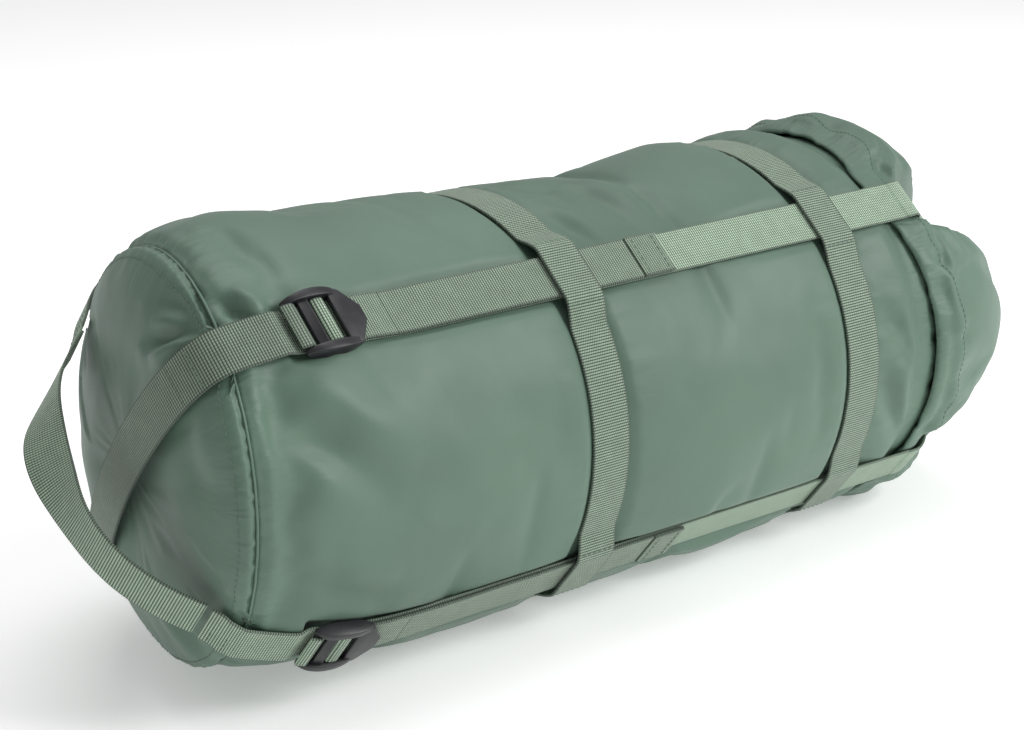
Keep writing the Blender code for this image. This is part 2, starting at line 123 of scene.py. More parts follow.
LID_RISE = 0.008  # how far the filling pushes the end of the lid up
LID_PUSH = 0.007  # how far the whole end is pressed back
LID_SLUMP = 0.024  # how far the top of the lid falls back towards the sack
FLOOR = 0.0006  # fabric rests this far above the floor
AROUND = 128  # quads round the sack
WALL_STEP = 0.0054  # length of a quad along the side wall

# How the side wall ends under the lid: distance past the mouth and radius, from its inner edge outwards.
WALL_END = [(0.0100, 0.1000), (0.0108, 0.1060), (0.0085, 0.1095), (0.0020, 0.1105)]
# The gathered neck: share of the way along it, station and radius.
NECK = [(0.0, 0.2042, 0.0990), (0.15, 0.2062, 0.0955), (0.5, 0.2130, 0.0735), (0.8, 0.2210, 0.0692)]
NECK += [(1.0, 0.2296, 0.0688)]


def linear(colour):
    """Linear RGBA of an sRGB hex colour."""
    values = [int(colour[i : i + 2], 16) / 255 for i in (1, 3, 5)]
    return tuple(v / 12.92 if v <= 0.04045 else ((v + 0.055) / 1.055) ** 2.4 for v in values) + (1.0,)


class SackSizes(bpy.types.PropertyGroup):
    growth: bpy.props.FloatProperty(
        name="Spare cloth",
        description="Share by which the cloth is cut larger than its filling",
        default=0.035,
    )
    pressure: bpy.props.FloatProperty(
        name="Filling", description="Outward push of the filling on the cloth", default=4.0
    )
    cap: bpy.props.FloatProperty(
        name="Most bulge", description="How far the cloth may billow", default=0.007, unit="LENGTH"
    )
    pucker: bpy.props.FloatProperty(
        name="Pucker", description="Depth of the small gathers beside a seam", default=0.0013, unit="LENGTH"
    )
    rib: bpy.props.FloatProperty(
        name="Rib pitch", description="Spacing of the webbing's cross ribs", default=0.0015, unit="LENGTH"
    )
    stitch: bpy.props.FloatProperty(
        name="Stitch length", description="Length of one stitch", default=0.0027, unit="LENGTH"
    )


class SackColours(bpy.types.PropertyGroup):
    fabric: bpy.props.FloatVectorProperty(
        name="Fabric", description="Coated nylon", subtype="COLOR", size=4, default=linear("#577161")
    )
    webbing: bpy.props.FloatVectorProperty(
        name="Webbing", description="Polyester webbing", subtype="COLOR", size=4, default=linear("#a6c0a5")
    )
    gaps: bpy.props.FloatVectorProperty(
        name="Webbing gaps",
        description="Shade between the ribs",
        subtype="COLOR",
        size=4,
        default=linear("#252e28"),
    )
    thread: bpy.props.FloatVectorProperty(
        name="Thread", description="Polyester thread", subtype="COLOR", size=4, default=linear("#566a5c")
    )
    buckle: bpy.props.FloatVectorProperty(
        name="Buckles", description="Acetal", subtype="COLOR", size=4, default=linear("#232326")
    )


# ---------------------------------------------------------------- the sack's outer surface


def smooth(t):
    t = np.clip(t, 0.0, 1.0)
    return t * t * (3.0 - 2.0 * t)


def lean_weight(x):
    return smooth((LEAN_START - x) / (LEAN_START - SEAM_X))


def barrel(x):
    """Radius of the side wall at a station along the axis."""
    swell = np.clip((x - SEAM_X) / 0.055, 0.0, 1.0)
    radius = SEAM_RADIUS + (SACK_RADIUS - SEAM_RADIUS) * np.sin(swell * math.pi / 2)
    for middle in BAND_X:
        radius = radius - BAND_PINCH * np.exp(-(((x - middle) / 0.02) ** 2))
    return radius


def wall_point(x, angle):
    """(along, out) of the side wall in the plane through the axis at this angle."""
    rise = RISE * lean_weight(x)
    out = rise * math.sin(angle) + math.sqrt(barrel(x) ** 2 - (rise * math.cos(angle)) ** 2)
    return Vector((x - LEAN * out * math.cos(angle) * lean_weight(x), out))


def base_x(y, z):
    """Station of the base panel's surface at a point of its plan."""
    bulge = np.clip(1.0 - (y * y + (z - AXIS_Z - RISE) ** 2) / SEAM_RADIUS**2, 0.0, 1.0)
    return SEAM_X - DOME * np.sqrt(bulge) + LEAN * y


def base_points(angle, count):
    """(along, out) points over the base panel, in the plane at this angle."""
    half = math.sqrt(SEAM_RADIUS**2 - (RISE * math.cos(angle)) ** 2)
    points = []
    for step in range(count + 1):
        out = RISE * math.sin(angle) + half * math.cos(math.pi * step / count)
        y = -out * math.cos(angle)
        points.append(Vector((float(base_x(y, out * math.sin(angle) + AXIS_Z)), out)))
    return points


def lid_out(x):
    """Radius of the lid at a station."""
    along = np.clip((x - LID_RIM_X) / LID_LENGTH, 0.0, 1.0)
    return LID_RADIUS * np.sqrt(1.0 - along**2.2)


def world_point(flat, angle):
    """World position of an (along, out) point of the plane at this angle."""
    return Vector((flat.x, -flat.y * math.cos(angle), flat.y * math.sin(angle) + AXIS_Z))


def world_line(line, angle):
    """World positions of (along, out) points of the plane at this angle, as an array."""
    return np.array([tuple(world_point(Vector(point), angle)) for point in line])


def across_of(angle):
    """Direction across the plane at this angle, which is that of a strap's width."""
    return (0.0, math.sin(angle), math.cos(angle))


def aside(points, angle):
    """How far points lie to the side of the plane at this angle."""
    return points[:, 1] * math.sin(angle) + (points[:, 2] - AXIS_Z) * math.cos(angle)


def buckle_frame(angle):
    """Rear bar centre and the unit vectors along and out of the buckle, as (along, out)."""
    rear = wall_point(BUCKLE_X, angle)
    front = wall_point(BUCKLE_X + TAB_START, angle)
    along = (front - rear).normalized()
    out = Vector((-along.y, along.x))
    return rear + out * BAR_HEIGHT, along, out


def buckle_point(angle, along, out):
    centre, forward, outward = buckle_frame(angle)
    return centre + forward * along + outward * out


def lifted(line, height):
    """The line moved out of the surface by a height."""
    moved = []
    for index, point in enumerate(line):
        before = line[max(index - 1, 0)]
        after = line[min(index + 1, len(line) - 1)]
        along = (after - before).normalized()
        moved.append(point + Vector((-along.y, along.x)) * height)
    return moved


def arc(centre, radius, start, end, count):
    turns = [math.radians(start + (end - start) * step / count) for step in range(count + 1)]
    return [centre + Vector((math.cos(turn), math.sin(turn))) * radius for turn in turns]


def mirrored(line):
    return [Vector((point.x, -point.y)) for point in line]


def flowing(points, spacing):
    """Evenly spaced points on a smooth curve through these, as an array."""
    given = np.array([tuple(point) for point in points], float)
    ends = np.vstack([2 * given[0] - given[1], given, 2 * given[-1] - given[-2]])
    dense = []
    for i in range(1, len(ends) - 2):
        a, b, c, d = ends[i - 1 : i + 3]
        t = np.linspace(0.0, 1.0, 24, endpoint=False)[:, None]
        tangent_b = (c - a) / 2 * min(1.0, np.linalg.norm(c - b) / max(np.linalg.norm(b - a), 1e-6))
        tangent_c = (d - b) / 2 * min(1.0, np.linalg.norm(c - b) / max(np.linalg.norm(d - c), 1e-6))
        dense.append(
            (2 * t**3 - 3 * t**2 + 1) * b
            + (t**3 - 2 * t**2 + t) * tangent_b
            + (-2 * t**3 + 3 * t**2) * c
            + (t**3 - t**2) * tangent_c
        )
    dense = np.vstack(dense + [given[-1:]])
    travel = np.concatenate([[0.0], np.cumsum(np.linalg.norm(np.diff(dense, axis=0), axis=1))])
    count = max(int(round(travel[-1] / spacing)), 2)
    at = np.linspace(0.0, travel[-1], count + 1)
    return np.column_stack([np.interp(at, travel, dense[:, k]) for k in range(dense.shape[1])])


def uneven(turn, count, seed):
    """A wavy line round a ring that doesn't look repeated, from -1 to 1, with about count waves."""
    total = 0.0
    for step, (rate, weight) in enumerate(((1.0, 0.5), (1.62, 0.3), (0.58, 0.35), (2.31, 0.2))):
        total = total + weight * np.sin(turn * round(count * rate) + seed * (step + 1.7))
    return total / 1.2


# ---------------------------------------------------------------- ways of making a piece


def only(obj):
    """Makes this the one selected, active object."""
    bpy.ops.object.select_all(action="DESELECT")
    obj.select_set(True)
    bpy.context.view_layer.objects.active = obj


def points_of(obj):
    flat = np.empty(len(obj.data.vertices) * 3)
    obj.data.vertices.foreach_get("co", flat)
    return flat.reshape(-1, 3)


def normals_of(obj):
    flat = np.empty(len(obj.data.vertices) * 3)
    obj.data.vertex_normals.foreach_get("vector", flat)
    return flat.reshape(-1, 3)


def move_points(obj, points):
    obj.data.vertices.foreach_set("co", np.ascontiguousarray(points, float).ravel())
    obj.data.update()


def cloth_grid(name, points, across, along, merge=False):
    """A sheet of quads at an array of points, with a UV map in metres, joined up where its edges meet."""
    rows, columns = points.shape[:2]
    bpy.ops.object.select_all(action="DESELECT")
    bpy.ops.mesh.primitive_grid_add(x_subdivisions=columns - 1, y_subdivisions=rows - 1, size=1.0)
    obj = bpy.context.active_object
    obj.name = name
    obj.data.name = name
    move_points(obj, points.reshape(-1, 3))
    corner = np.empty(len(obj.data.loops), np.int32)
    obj.data.loops.foreach_get("vertex_index", corner)
    shape = (rows, columns)
    flat_u = np.broadcast_to(across, shape).ravel()
    flat_v = np.broadcast_to(along, shape).ravel()
    obj.data.uv_layers[0].data.foreach_set("uv", np.column_stack([flat_u[corner], flat_v[corner]]).ravel())
    if merge:
        only(obj)
        bpy.ops.object.mode_set(mode="EDIT")
        bpy.ops.mesh.select_all(action="SELECT")
        bpy.ops.mesh.remove_doubles(threshold=0.00002)
        bpy.ops.object.mode_set(mode="OBJECT")
    obj.data.shade_smooth()
    return obj


def face_outward(obj):
    """Turns every face of a closed mesh outward."""
    only(obj)
    bpy.ops.object.mode_set(mode="EDIT")
    bpy.ops.mesh.select_all(action="SELECT")
    bpy.ops.mesh.normals_make_consistent(inside=False)
    bpy.ops.object.mode_set(mode="OBJECT")


def finish_modifiers(obj):
    only(obj)
    for name in [modifier.name for modifier in obj.modifiers]:
        bpy.ops.object.modifier_apply(modifier=name)
    return obj


def thicken(obj, thickness, offset=0.0, bevel=0.0):
    """Gives a sheet its thickness and, for webbing, rounded edges."""
    solid = obj.modifiers.new("Thickness", "SOLIDIFY")
    solid.thickness = thickness
    solid.offset = offset
    if bevel:
        edge = obj.modifiers.new("Edges", "BEVEL")
        edge.width = bevel
        edge.segments = 2
        edge.limit_method = "ANGLE"
        edge.angle_limit = math.radians(50)
    return finish_modifiers(obj)


def strip(name, centres, across, width=WEB_WIDTH, thickness=WEB, ripple=None, closed=False, start=0.0):
    """Webbing along a line of centres: across is its width direction, and ripple lifts its surface."""
    centres = np.asarray(centres, float)
    across = np.broadcast_to(np.asarray(across, float), centres.shape)
    travel = np.concatenate([[0.0], np.cumsum(np.linalg.norm(np.diff(centres, axis=0), axis=1))]) + start
    tangent = np.gradient(centres, axis=0)
    if closed:
        tangent[0] = tangent[-1] = centres[1] - centres[-2]
    out = np.cross(tangent, across)
    out /= np.linalg.norm(out, axis=1)[:, None]
    edge = width / 2
    u = edge * np.array([-1.0, -0.92, -0.7, -0.35, 0.0, 0.35, 0.7, 0.92, 1.0])
    lift = np.zeros((len(centres), len(u)))
    if ripple is not None:
        lift = ripple(travel[:, None], u[None, :]) + lift
    points = centres[:, None] + across[:, None] * u[None, :, None] + out[:, None] * lift[:, :, None]
    obj = cloth_grid(name, points, u[None, :], travel[:, None], merge=closed)
    return thicken(obj, thickness - 0.0001, bevel=0.00035)


def plane_strip(name, line, angle, **settings):
    """Webbing along (along, out) points of the plane through the axis at this angle."""
    return strip(name, world_line(flowing(line, WEB_STEP), angle), across_of(angle), **settings)


def plate(name, outline, low, high, bevel=0.0007):
    """A flat part: an outline in XY, drawn up from low to high in Z, with rounded edges."""
    bpy.ops.object.select_all(action="DESELECT")
    bpy.ops.mesh.primitive_circle_add(vertices=len(outline), radius=0.01, fill_type="NGON")
    obj = bpy.context.active_object
    obj.name = name
    move_points(obj, np.array([(x, y, low) for x, y in outline]))
    bpy.ops.object.mode_set(mode="EDIT")
    bpy.ops.mesh.select_all(action="SELECT")
    bpy.ops.mesh.extrude_region_move(TRANSFORM_OT_translate={"value": (0.0, 0.0, high - low)})
    bpy.ops.mesh.select_all(action="SELECT")
    bpy.ops.mesh.normals_make_consistent(inside=False)
    bpy.ops.object.mode_set(mode="OBJECT")
    edge = obj.modifiers.new("Edges", "BEVEL")
    edge.width = bevel
    edge.segments = 3
    edge.limit_method = "ANGLE"
    edge.angle_limit = math.radians(40)
    finish_modifiers(obj)
    bpy.ops.object.shade_smooth_by_angle(angle=math.radians(35))
    return obj


def joined(name, pieces):
    """The pieces as one object."""
    bpy.ops.object.select_all(action="DESELECT")
    for piece in pieces:
        piece.select_set(True)
    bpy.context.view_layer.objects.active = pieces[0]
    if len(pieces) > 1:
        bpy.ops.object.join()
    pieces[0].name = name
    pieces[0].data.name = name
    return pieces[0]


def surface_tree(*objs):
    """What rays can be cast on to find the finished surface of these."""
    points, faces = [], []
    for obj in objs:
        first = len(points)
        points.extend(vertex.co.copy() for vertex in obj.data.vertices)
        faces.extend([first + v for v in face.vertices] for face in obj.data.polygons)
    return BVHTree.FromPolygons(points, faces)


def on_wall(tree, x, turn):
    """Point and normal of the surface at a station and an angle round the axis."""
    out = Vector((0.0, -math.cos(turn), math.sin(turn)))
    hit = tree.ray_cast(Vector((x, 0.0, AXIS_Z)) + out * 0.2, -out)
    return (hit[0], hit[1]) if hit[0] else None


def on_base(tree, y, z):
    hit = tree.ray_cast(Vector((-0.5, y, z)), Vector((1.0, 0.0, 0.0)))
    return (hit[0], hit[1]) if hit[0] else None


def stitch_row(name, spots, sink=0.45):
    """A row of stitches through (point, normal) spots, all alike and a little sunk in."""
    spots = [spot for spot in spots if spot]
    size = bpy.context.scene.sack_sizes
    line = np.array([tuple(point) for point, _ in spots])
    facing = np.array([tuple(normal) for _, normal in spots])
    travel = np.concatenate([[0.0], np.cumsum(np.linalg.norm(np.diff(line, axis=0), axis=1))])
    count = max(int(travel[-1] / (size.stitch * 1.25)), 1)
    bpy.ops.object.select_all(action="DESELECT")
    bpy.ops.mesh.primitive_uv_sphere_add(segments=6, ring_count=4, radius=1.0)
    one = bpy.context.active_object
    shape = points_of(one)
    radius = THREAD_RADIUS
    shape = np.column_stack([shape[:, 2] * size.stitch / 2, shape[:, 0] * radius, shape[:, 1] * radius])
    faces = [list(face.vertices)[::-1] for face in one.data.polygons]
    bpy.data.objects.remove(one, do_unlink=True)
    points, polygons = [], []
    for step in range(count):
        middle = (step + 0.5) * travel[-1] / count
        centre = np.array([np.interp(middle, travel, line[:, k]) for k in range(3)])
        up = np.array([np.interp(middle, travel, facing[:, k]) for k in range(3)])
        up /= np.linalg.norm(up)
        ahead = np.array([np.interp(middle + 0.001, travel, line[:, k]) for k in range(3)])
        behind = np.array([np.interp(middle - 0.001, travel, line[:, k]) for k in range(3)])
        along = ahead - behind
        along -= up * along.dot(up)
        along /= np.linalg.norm(along)
        side = np.cross(up, along)
        centre = centre + up * radius * (1.0 - sink)
        first = len(points) * len(shape)
        points.append(centre + shape @ np.array([along, side, up]))
        polygons += [[first + v for v in face] for face in faces]
    mesh = bpy.data.meshes.new(name)
    mesh.from_pydata(np.vstack(points).tolist(), [], polygons)
    obj = bpy.data.objects.new(name, mesh)
    bpy.context.scene.collection.objects.link(obj)
    face_outward(obj)
    obj.data.shade_smooth()
    return obj


def dress(obj, material, slot, body, *nodes):
    """Material, finish slot (not used), the body that carries the piece and the frame nodes that it stands
    for.
    """
    obj.data.materials.clear()
    obj.data.materials.append(bpy.data.materials[material])
    if body:
        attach(obj, body)
    if nodes:
        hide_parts(*nodes)
    return obj


def billow(obj, held, growth, pressure, cap):
    """Fills a cloth so that it billows between the points that are held."""
    rest = points_of(obj)
    group = obj.vertex_groups.new(name="held")
    for level in np.unique(np.round(held, 2)):
        if level > 0:
            group.add([int(i) for i in np.flatnonzero(np.round(held, 2) == level)], float(level), "REPLACE")
    cloth = obj.modifiers.new("Cloth", "CLOTH")
    settings = cloth.settings
    settings.quality = 5
    settings.mass = 0.25
    settings.tension_stiffness = 20
    settings.compression_stiffness = 20
    settings.shear_stiffness = 8
    settings.bending_stiffness = 0.6
    settings.air_damping = 4
    settings.use_pressure = True
    settings.uniform_pressure_force = pressure
    settings.shrink_min = -growth
    settings.vertex_group_mass = "held"
    settings.effector_weights.gravity = 0.0
    cloth.point_cache.frame_start = 1
    cloth.point_cache.frame_end = 20
    for step in range(1, 21):
        bpy.context.scene.frame_set(step)
    finish_modifiers(obj)
    bpy.context.scene.frame_set(1)
    obj.vertex_groups.clear()
    moved = points_of(obj) - rest
    far = np.linalg.norm(moved, axis=1)
    moved *= (cap * np.tanh(far / cap) / np.maximum(far, 1e-9))[:, None]
    move_points(obj, rest + moved)


def soften(obj):
    """One round of subdivision."""
    finer = obj.modifiers.new("Finer", "SUBSURF")
    finer.levels = 1
    finer.render_levels = 1
    finish_modifiers(obj)


def crease(a, b, path, width, depth, lip=0.5):
    """Height change at plan positions (a, b) of a fold along a path: a valley with a ridge on its left."""
    height = np.zeros_like(a)
    best = np.full_like(a, 1e9)
    line = flowing(path, width / 2)
    total = len(line) - 1
    for step in range(total):
        start, end = line[step], line[step + 1]
        length = end - start
        size = np.linalg.norm(length)
        t = np.clip(((a - start[0]) * length[0] + (b - start[1]) * length[1]) / size**2, 0.0, 1.0)
        off_a = a - start[0] - t * length[0]
        off_b = b - start[1] - t * length[1]
        distance = np.hypot(off_a, off_b)
        side = np.sign(length[0] * off_b - length[1] * off_a)
        fade = np.sin(np.pi * np.clip((step + t) / total, 0.02, 0.98)) ** 0.6
        valley = -np.exp(-((distance / width) ** 2))
        ridge = lip * np.exp(-(((side * distance - 1.9 * width) / (1.2 * width)) ** 2))
        value = depth * fade * (valley + ridge)
        nearer = distance < best
        height = np.where(nearer, value, height)
        best = np.where(nearer, distance, best)
    return height


def mark_gathers(obj, strength):
    """Says how strongly each point's cloth is finely gathered, for its material."""
    layer = obj.data.attributes.new("gathers", "FLOAT", "POINT")
    layer.data.foreach_set("value", np.clip(strength, 0.0, 1.0).astype(np.float32))


def round_axis(points):
    """Angle and radius round the sack's axis of each point."""
    return np.arctan2(points[:, 2] - AXIS_Z, -points[:, 1]), np.hypot(points[:, 1], points[:, 2] - AXIS_Z)


# ---------------------------------------------------------------- materials


def add(tree, kind, inputs=None, **settings):
    """Adds a node with its settings, and its inputs as values or as sockets to link from."""
    node = tree.nodes.new("ShaderNode" + kind)
    for name, value in settings.items():
        setattr(node, name, value)
    for name, value in (inputs or {}).items():
        if isinstance(value, bpy.types.NodeSocket):
            tree.links.new(value, node.inputs[name])
        else:
            node.inputs[name].default_value = value
    return node


def blank_material(name):
    material = bpy.data.materials.new(name)
    material.use_nodes = True
    return material, material.node_tree, material.node_tree.nodes["Principled BSDF"]


def coated_nylon():
    """Coated nylon taffeta: a smooth satin film over a fine plain weave, softly crinkled."""
    colours = bpy.context.scene.sack_colours
    material, tree, shader = blank_material("coated_nylon")
    place = add(tree, "TexCoord").outputs["Object"]
    broad = add(tree, "TexNoise", {"Vector": place, "Scale": 7.0, "Detail": 3.0}).outputs["Fac"]
    shade = add(tree, "MapRange", {"Value": broad, 1: 0.35, 2: 0.65, 3: 0.0, 4: 1.0}).outputs[0]
    base = tuple(colours.fabric)
    deep = tuple(0.86 * c for c in base[:3]) + (1.0,)
    light = tuple(1.07 * c for c in base[:3]) + (1.0,)
    tint = add(tree, "Mix", {0: shade, 6: deep, 7: light}, data_type="RGBA").outputs[2]
    # The real weave is 0.25 mm. It is drawn at 0.9 mm, the finest that shows.
    uv = add(tree, "SeparateXYZ", {0: add(tree, "UVMap").outputs[0]})
    turns = 2 * math.pi / 0.0009
    warp = add(tree, "Math", {0: uv.outputs[0], 1: turns}, operation="MULTIPLY").outputs[0]
    weft = add(tree, "Math", {0: uv.outputs[1], 1: turns}, operation="MULTIPLY").outputs[0]
    warp = add(tree, "Math", {0: warp}, operation="SINE").outputs[0]
    weft = add(tree, "Math", {0: weft}, operation="SINE").outputs[0]
    weave = add(tree, "Math", {0: warp, 1: weft}, operation="MULTIPLY").outputs[0]
    speck = add(tree, "Math", {0: weave, 1: 0.025, 2: 1.0}, operation="MULTIPLY_ADD").outputs[0]
    colour = add(tree, "Mix", {0: 1.0, 6: tint, 7: speck}, data_type="RGBA", blend_type="MULTIPLY")
    tree.links.new(colour.outputs[2], shader.inputs["Base Color"])
    crinkle = add(tree, "TexNoise", {"Vector": place, "Scale": 85.0, "Detail": 4.0, "Roughness": 0.55})
    soft = add(tree, "Bump", {"Strength": 0.28, "Distance": 0.0008, "Height": crinkle.outputs["Fac"]})
    # Small gathers run away from each seam: 7 mm apart across them and three times as long.
    stretch = add(tree, "Mapping", {"Vector": add(tree, "UVMap").outputs[0], "Scale": (1.0, 0.3, 1.0)})
    ruck = add(
        tree, "TexNoise", {"Vector": stretch.outputs[0], "Scale": 150.0, "Detail": 2.5, "Distortion": 0.6}
    )
    near = add(tree, "Attribute", attribute_name="gathers").outputs["Fac"]
    rucked = add(tree, "Math", {0: ruck.outputs["Fac"], 1: near}, operation="MULTIPLY").outputs[0]
    rucks = add(
        tree, "Bump", {"Strength": 0.8, "Distance": 0.0022, "Height": rucked, "Normal": soft.outputs[0]}
    )
    fine = add(
        tree, "Bump", {"Strength": 0.25, "Distance": 0.00008, "Height": weave, "Normal": rucks.outputs[0]}
    )
    tree.links.new(fine.outputs[0], shader.inputs["Normal"])
    worn = add(tree, "TexNoise", {"Vector": place, "Scale": 30.0, "Detail": 3.0}).outputs["Fac"]
    gloss = add(tree, "MapRange", {"Value": worn, 1: 0.3, 2: 0.7, 3: 0.48, 4: 0.60}).outputs[0]
    tree.links.new(gloss, shader.inputs["Roughness"])
    shader.inputs["Sheen Weight"].default_value = 0.08
    shader.inputs["Sheen Roughness"].default_value = 0.4
    shader.inputs["IOR"].default_value = 1.53
    return material


def polyester_webbing(name, painted_light_scale, slant):
    """Woven polyester webbing: cross ribs and lengthwise yarns with dark gaps, and bound edges, quite matt.

    The number before slant scales its colour as painted light or shade, for lit and shaded copies of one
    webbing, and slant sets how far each rib's yarns are shifted from the last rib's."""
    colours = bpy.context.scene.sack_colours
    pitch = bpy.context.scene.sack_sizes.rib
    material, tree, shader = blank_material(name)
    uv = add(tree, "SeparateXYZ", {0: add(tree, "UVMap").outputs[0]})
    place = add(tree, "TexCoord").outputs["Object"]
    across, along = uv.outputs[0], uv.outputs[1]
    ribs = add(tree, "Math", {0: along, 1: 2 * math.pi / pitch}, operation="MULTIPLY").outputs[0]
    half = add(tree, "Math", {0: along, 1: slant * math.pi / pitch}, operation="MULTIPLY").outputs[0]
    phase = add(tree, "Math", {0: across, 1: 2 * math.pi / 0.0016, 2: half}, operation="MULTIPLY_ADD")
    rib = add(tree, "Math", {0: ribs}, operation="COSINE").outputs[0]
    yarn = add(tree, "Math", {0: phase.outputs[0]}, operation="COSINE").outputs[0]
    rib = add(tree, "MapRange", {"Value": rib, 1: -0.75, 2: 0.35, 3: 0.0, 4: 1.0}).outputs[0]
    yarn = add(tree, "MapRange", {"Value": yarn, 1: -1.0, 2: 0.1, 3: 0.35, 4: 1.0}).outputs[0]
    height = add(tree, "Math", {0: rib, 1: yarn}, operation="MULTIPLY").outputs[0]
    off = add(tree, "Math", {0: across}, operation="ABSOLUTE").outputs[0]
    edge = add(tree, "MapRange", {"Value": off, 1: 0.0112, 2: 0.0121, 3: 1.0, 4: 0.45}).outputs[0]
    lit = add(tree, "MapRange", {"Value": height, 1: 0.0, 2: 0.8, 3: 0.05, 4: 1.0}).outputs[0]
    lit = add(tree, "Math", {0: lit, 1: edge}, operation="MULTIPLY").outputs[0]
    # Painted light or shade: the rib tops are made lighter or darker here for how brightly this copy of the
    # webbing is lit.
    top = tuple(painted_light_scale * c for c in tuple(colours.webbing)[:3]) + (1.0,)
    tint = add(tree, "Mix", {0: lit, 6: tuple(colours.gaps), 7: top}, data_type="RGBA").outputs[2]
    mottle = add(tree, "TexNoise", {"Vector": place, "Scale": 140.0, "Detail": 3.0}).outputs["Fac"]
    mottle = add(tree, "MapRange", {"Value": mottle, 1: 0.3, 2: 0.7, 3: 0.9, 4: 1.06}).outputs[0]
    colour = add(tree, "Mix", {0: 1.0, 6: tint, 7: mottle}, data_type="RGBA", blend_type="MULTIPLY")
    tree.links.new(colour.outputs[2], shader.inputs["Base Color"])
    bump = add(tree, "Bump", {"Strength": 0.8, "Distance": 0.00035, "Height": height})
    tree.links.new(bump.outputs[0], shader.inputs["Normal"])
    shader.inputs["Roughness"].default_value = 0.68
    shader.inputs["Sheen Weight"].default_value = 0.2
    shader.inputs["IOR"].default_value = 1.5
    return material


def moulded_acetal():
    """Injection-moulded acetal: black, waxy, with a faint spark-eroded grain that breaks its highlights."""
    material, tree, shader = blank_material("moulded_acetal")
    place = add(tree, "TexCoord").outputs["Object"]
    grain = add(tree, "TexNoise", {"Vector": place, "Scale": 1400.0, "Detail": 2.0}).outputs["Fac"]
    wear = add(tree, "TexNoise", {"Vector": place, "Scale": 90.0, "Detail": 4.0}).outputs["Fac"]
    base = tuple(bpy.context.scene.sack_colours.buckle)
    rubbed = tuple(1.7 * c for c in base[:3]) + (1.0,)
    factor = add(tree, "MapRange", {"Value": wear, 1: 0.45, 2: 0.75, 3: 0.0, 4: 0.6}).outputs[0]
    tint = add(tree, "Mix", {0: factor, 6: base, 7: rubbed}, data_type="RGBA").outputs[2]
    tree.links.new(tint, shader.inputs["Base Color"])
    bump = add(tree, "Bump", {"Strength": 0.25, "Distance": 0.00006, "Height": grain})
    tree.links.new(bump.outputs[0], shader.inputs["Normal"])
    gloss = add(tree, "MapRange", {"Value": wear, 1: 0.3, 2: 0.7, 3: 0.3, 4: 0.42}).outputs[0]
    tree.links.new(gloss, shader.inputs["Roughness"])
    shader.inputs["IOR"].default_value = 1.48
    return material


def polyester_thread():
    """Bonded polyester thread: twisted, slightly darker than the cloth, satin."""
    material, tree, shader = blank_material("polyester_thread")
    place = add(tree, "TexCoord").outputs["Object"]
    twist = add(tree, "TexNoise", {"Vector": place, "Scale": 900.0, "Detail": 2.0}).outputs["Fac"]
    base = tuple(bpy.context.scene.sack_colours.thread)
    light = tuple(1.35 * c for c in base[:3]) + (1.0,)
    tint = add(tree, "Mix", {0: twist, 6: base, 7: light}, data_type="RGBA").outputs[2]
    tree.links.new(tint, shader.inputs["Base Color"])
    shader.inputs["Roughness"].default_value = 0.55
    return material


def plated_brass():
    """Gunmetal-plated brass eyelets: rolled, softly polished, with fine handling marks."""
    material, tree, shader = blank_material("plated_brass")
    place = add(tree, "TexCoord").outputs["Object"]
    marks = add(tree, "TexNoise", {"Vector": place, "Scale": 500.0, "Detail": 3.0}).outputs["Fac"]
    tint = add(tree, "Mix", {0: marks, 6: linear("#5f5c58"), 7: linear("#8a867f")}, data_type="RGBA")
    tree.links.new(tint.outputs[2], shader.inputs["Base Color"])
    gloss = add(tree, "MapRange", {"Value": marks, 1: 0.3, 2: 0.7, 3: 0.25, 4: 0.4}).outputs[0]
    tree.links.new(gloss, shader.inputs["Roughness"])
    shader.inputs["Metallic"].default_value = 1.0
    return material


# ---------------------------------------------------------------- pieces


def press_down(points):
    """Keeps the side wall's cloth under the straps and bands."""
    skirt = 0.7  # slope of the cloth as it rises beside them
    turn, radius = round_axis(points)
    x = points[:, 0]
    limit = np.full(len(points), 1.0)
    lying = (x > BUCKLE_X - 0.02) & (x < MOUTH_X + 0.01)
    for angle in STRAPS.values():
        off = np.abs(radius * np.sin(turn - angle))
        near = lying & (np.cos(turn - angle) > 0)
        allowed = np.array([wall_point(float(v), angle).y for v in np.clip(x[near], SEAM_X, MOUTH_X)])
        allowed = np.sqrt(allowed**2 + np.minimum(off[near], 0.014) ** 2) - 0.0003
        limit[near] = np.minimum(limit[near], allowed + np.maximum(off[near] - PRESSED, 0.0) * skirt)
    limit = np.minimum(limit, 0.1112 + np.maximum(MOUTH_X - 0.013 - x, 0.0) * 0.45)
    for middle in BAND_X:
        past = np.maximum(np.abs(x - middle) - PRESSED, 0.0)
        limit = np.minimum(limit, SACK_RADIUS - BAND_PINCH + 0.0004 + past * skirt)
    scale = np.minimum(limit / np.maximum(radius, 1e-6), 1.0)
    points[:, 1] *= scale
    points[:, 2] = (points[:, 2] - AXIS_Z) * scale + AXIS_Z
    return points


# How far the filled side wall stands in or out of a plain barrel, in metres, at stations along it,
# along its top and along its lower front.
TOP_SET = [(-0.26, 0.001), (-0.22, 0.005), (-0.17, 0.005), (-0.11, 0.002), (-0.065, 0.0), (-0.017, -0.0035)]
TOP_SET += [(0.027, -0.005), (0.059, -0.001), (0.092, 0.003), (0.13, 0.0), (0.165, 0.002), (0.2, 0.0)]
LOW_SET = [(-0.26, 0.0), (-0.2, 0.0), (-0.11, 0.001), (-0.065, 0.0), (-0.019, 0.002), (0.02, 0.0045)]
LOW_SET += [(0.059, 0.004), (0.093, 0.002), (0.13, 0.0), (0.145, -0.003), (0.168, -0.001), (0.2, 0.0)]

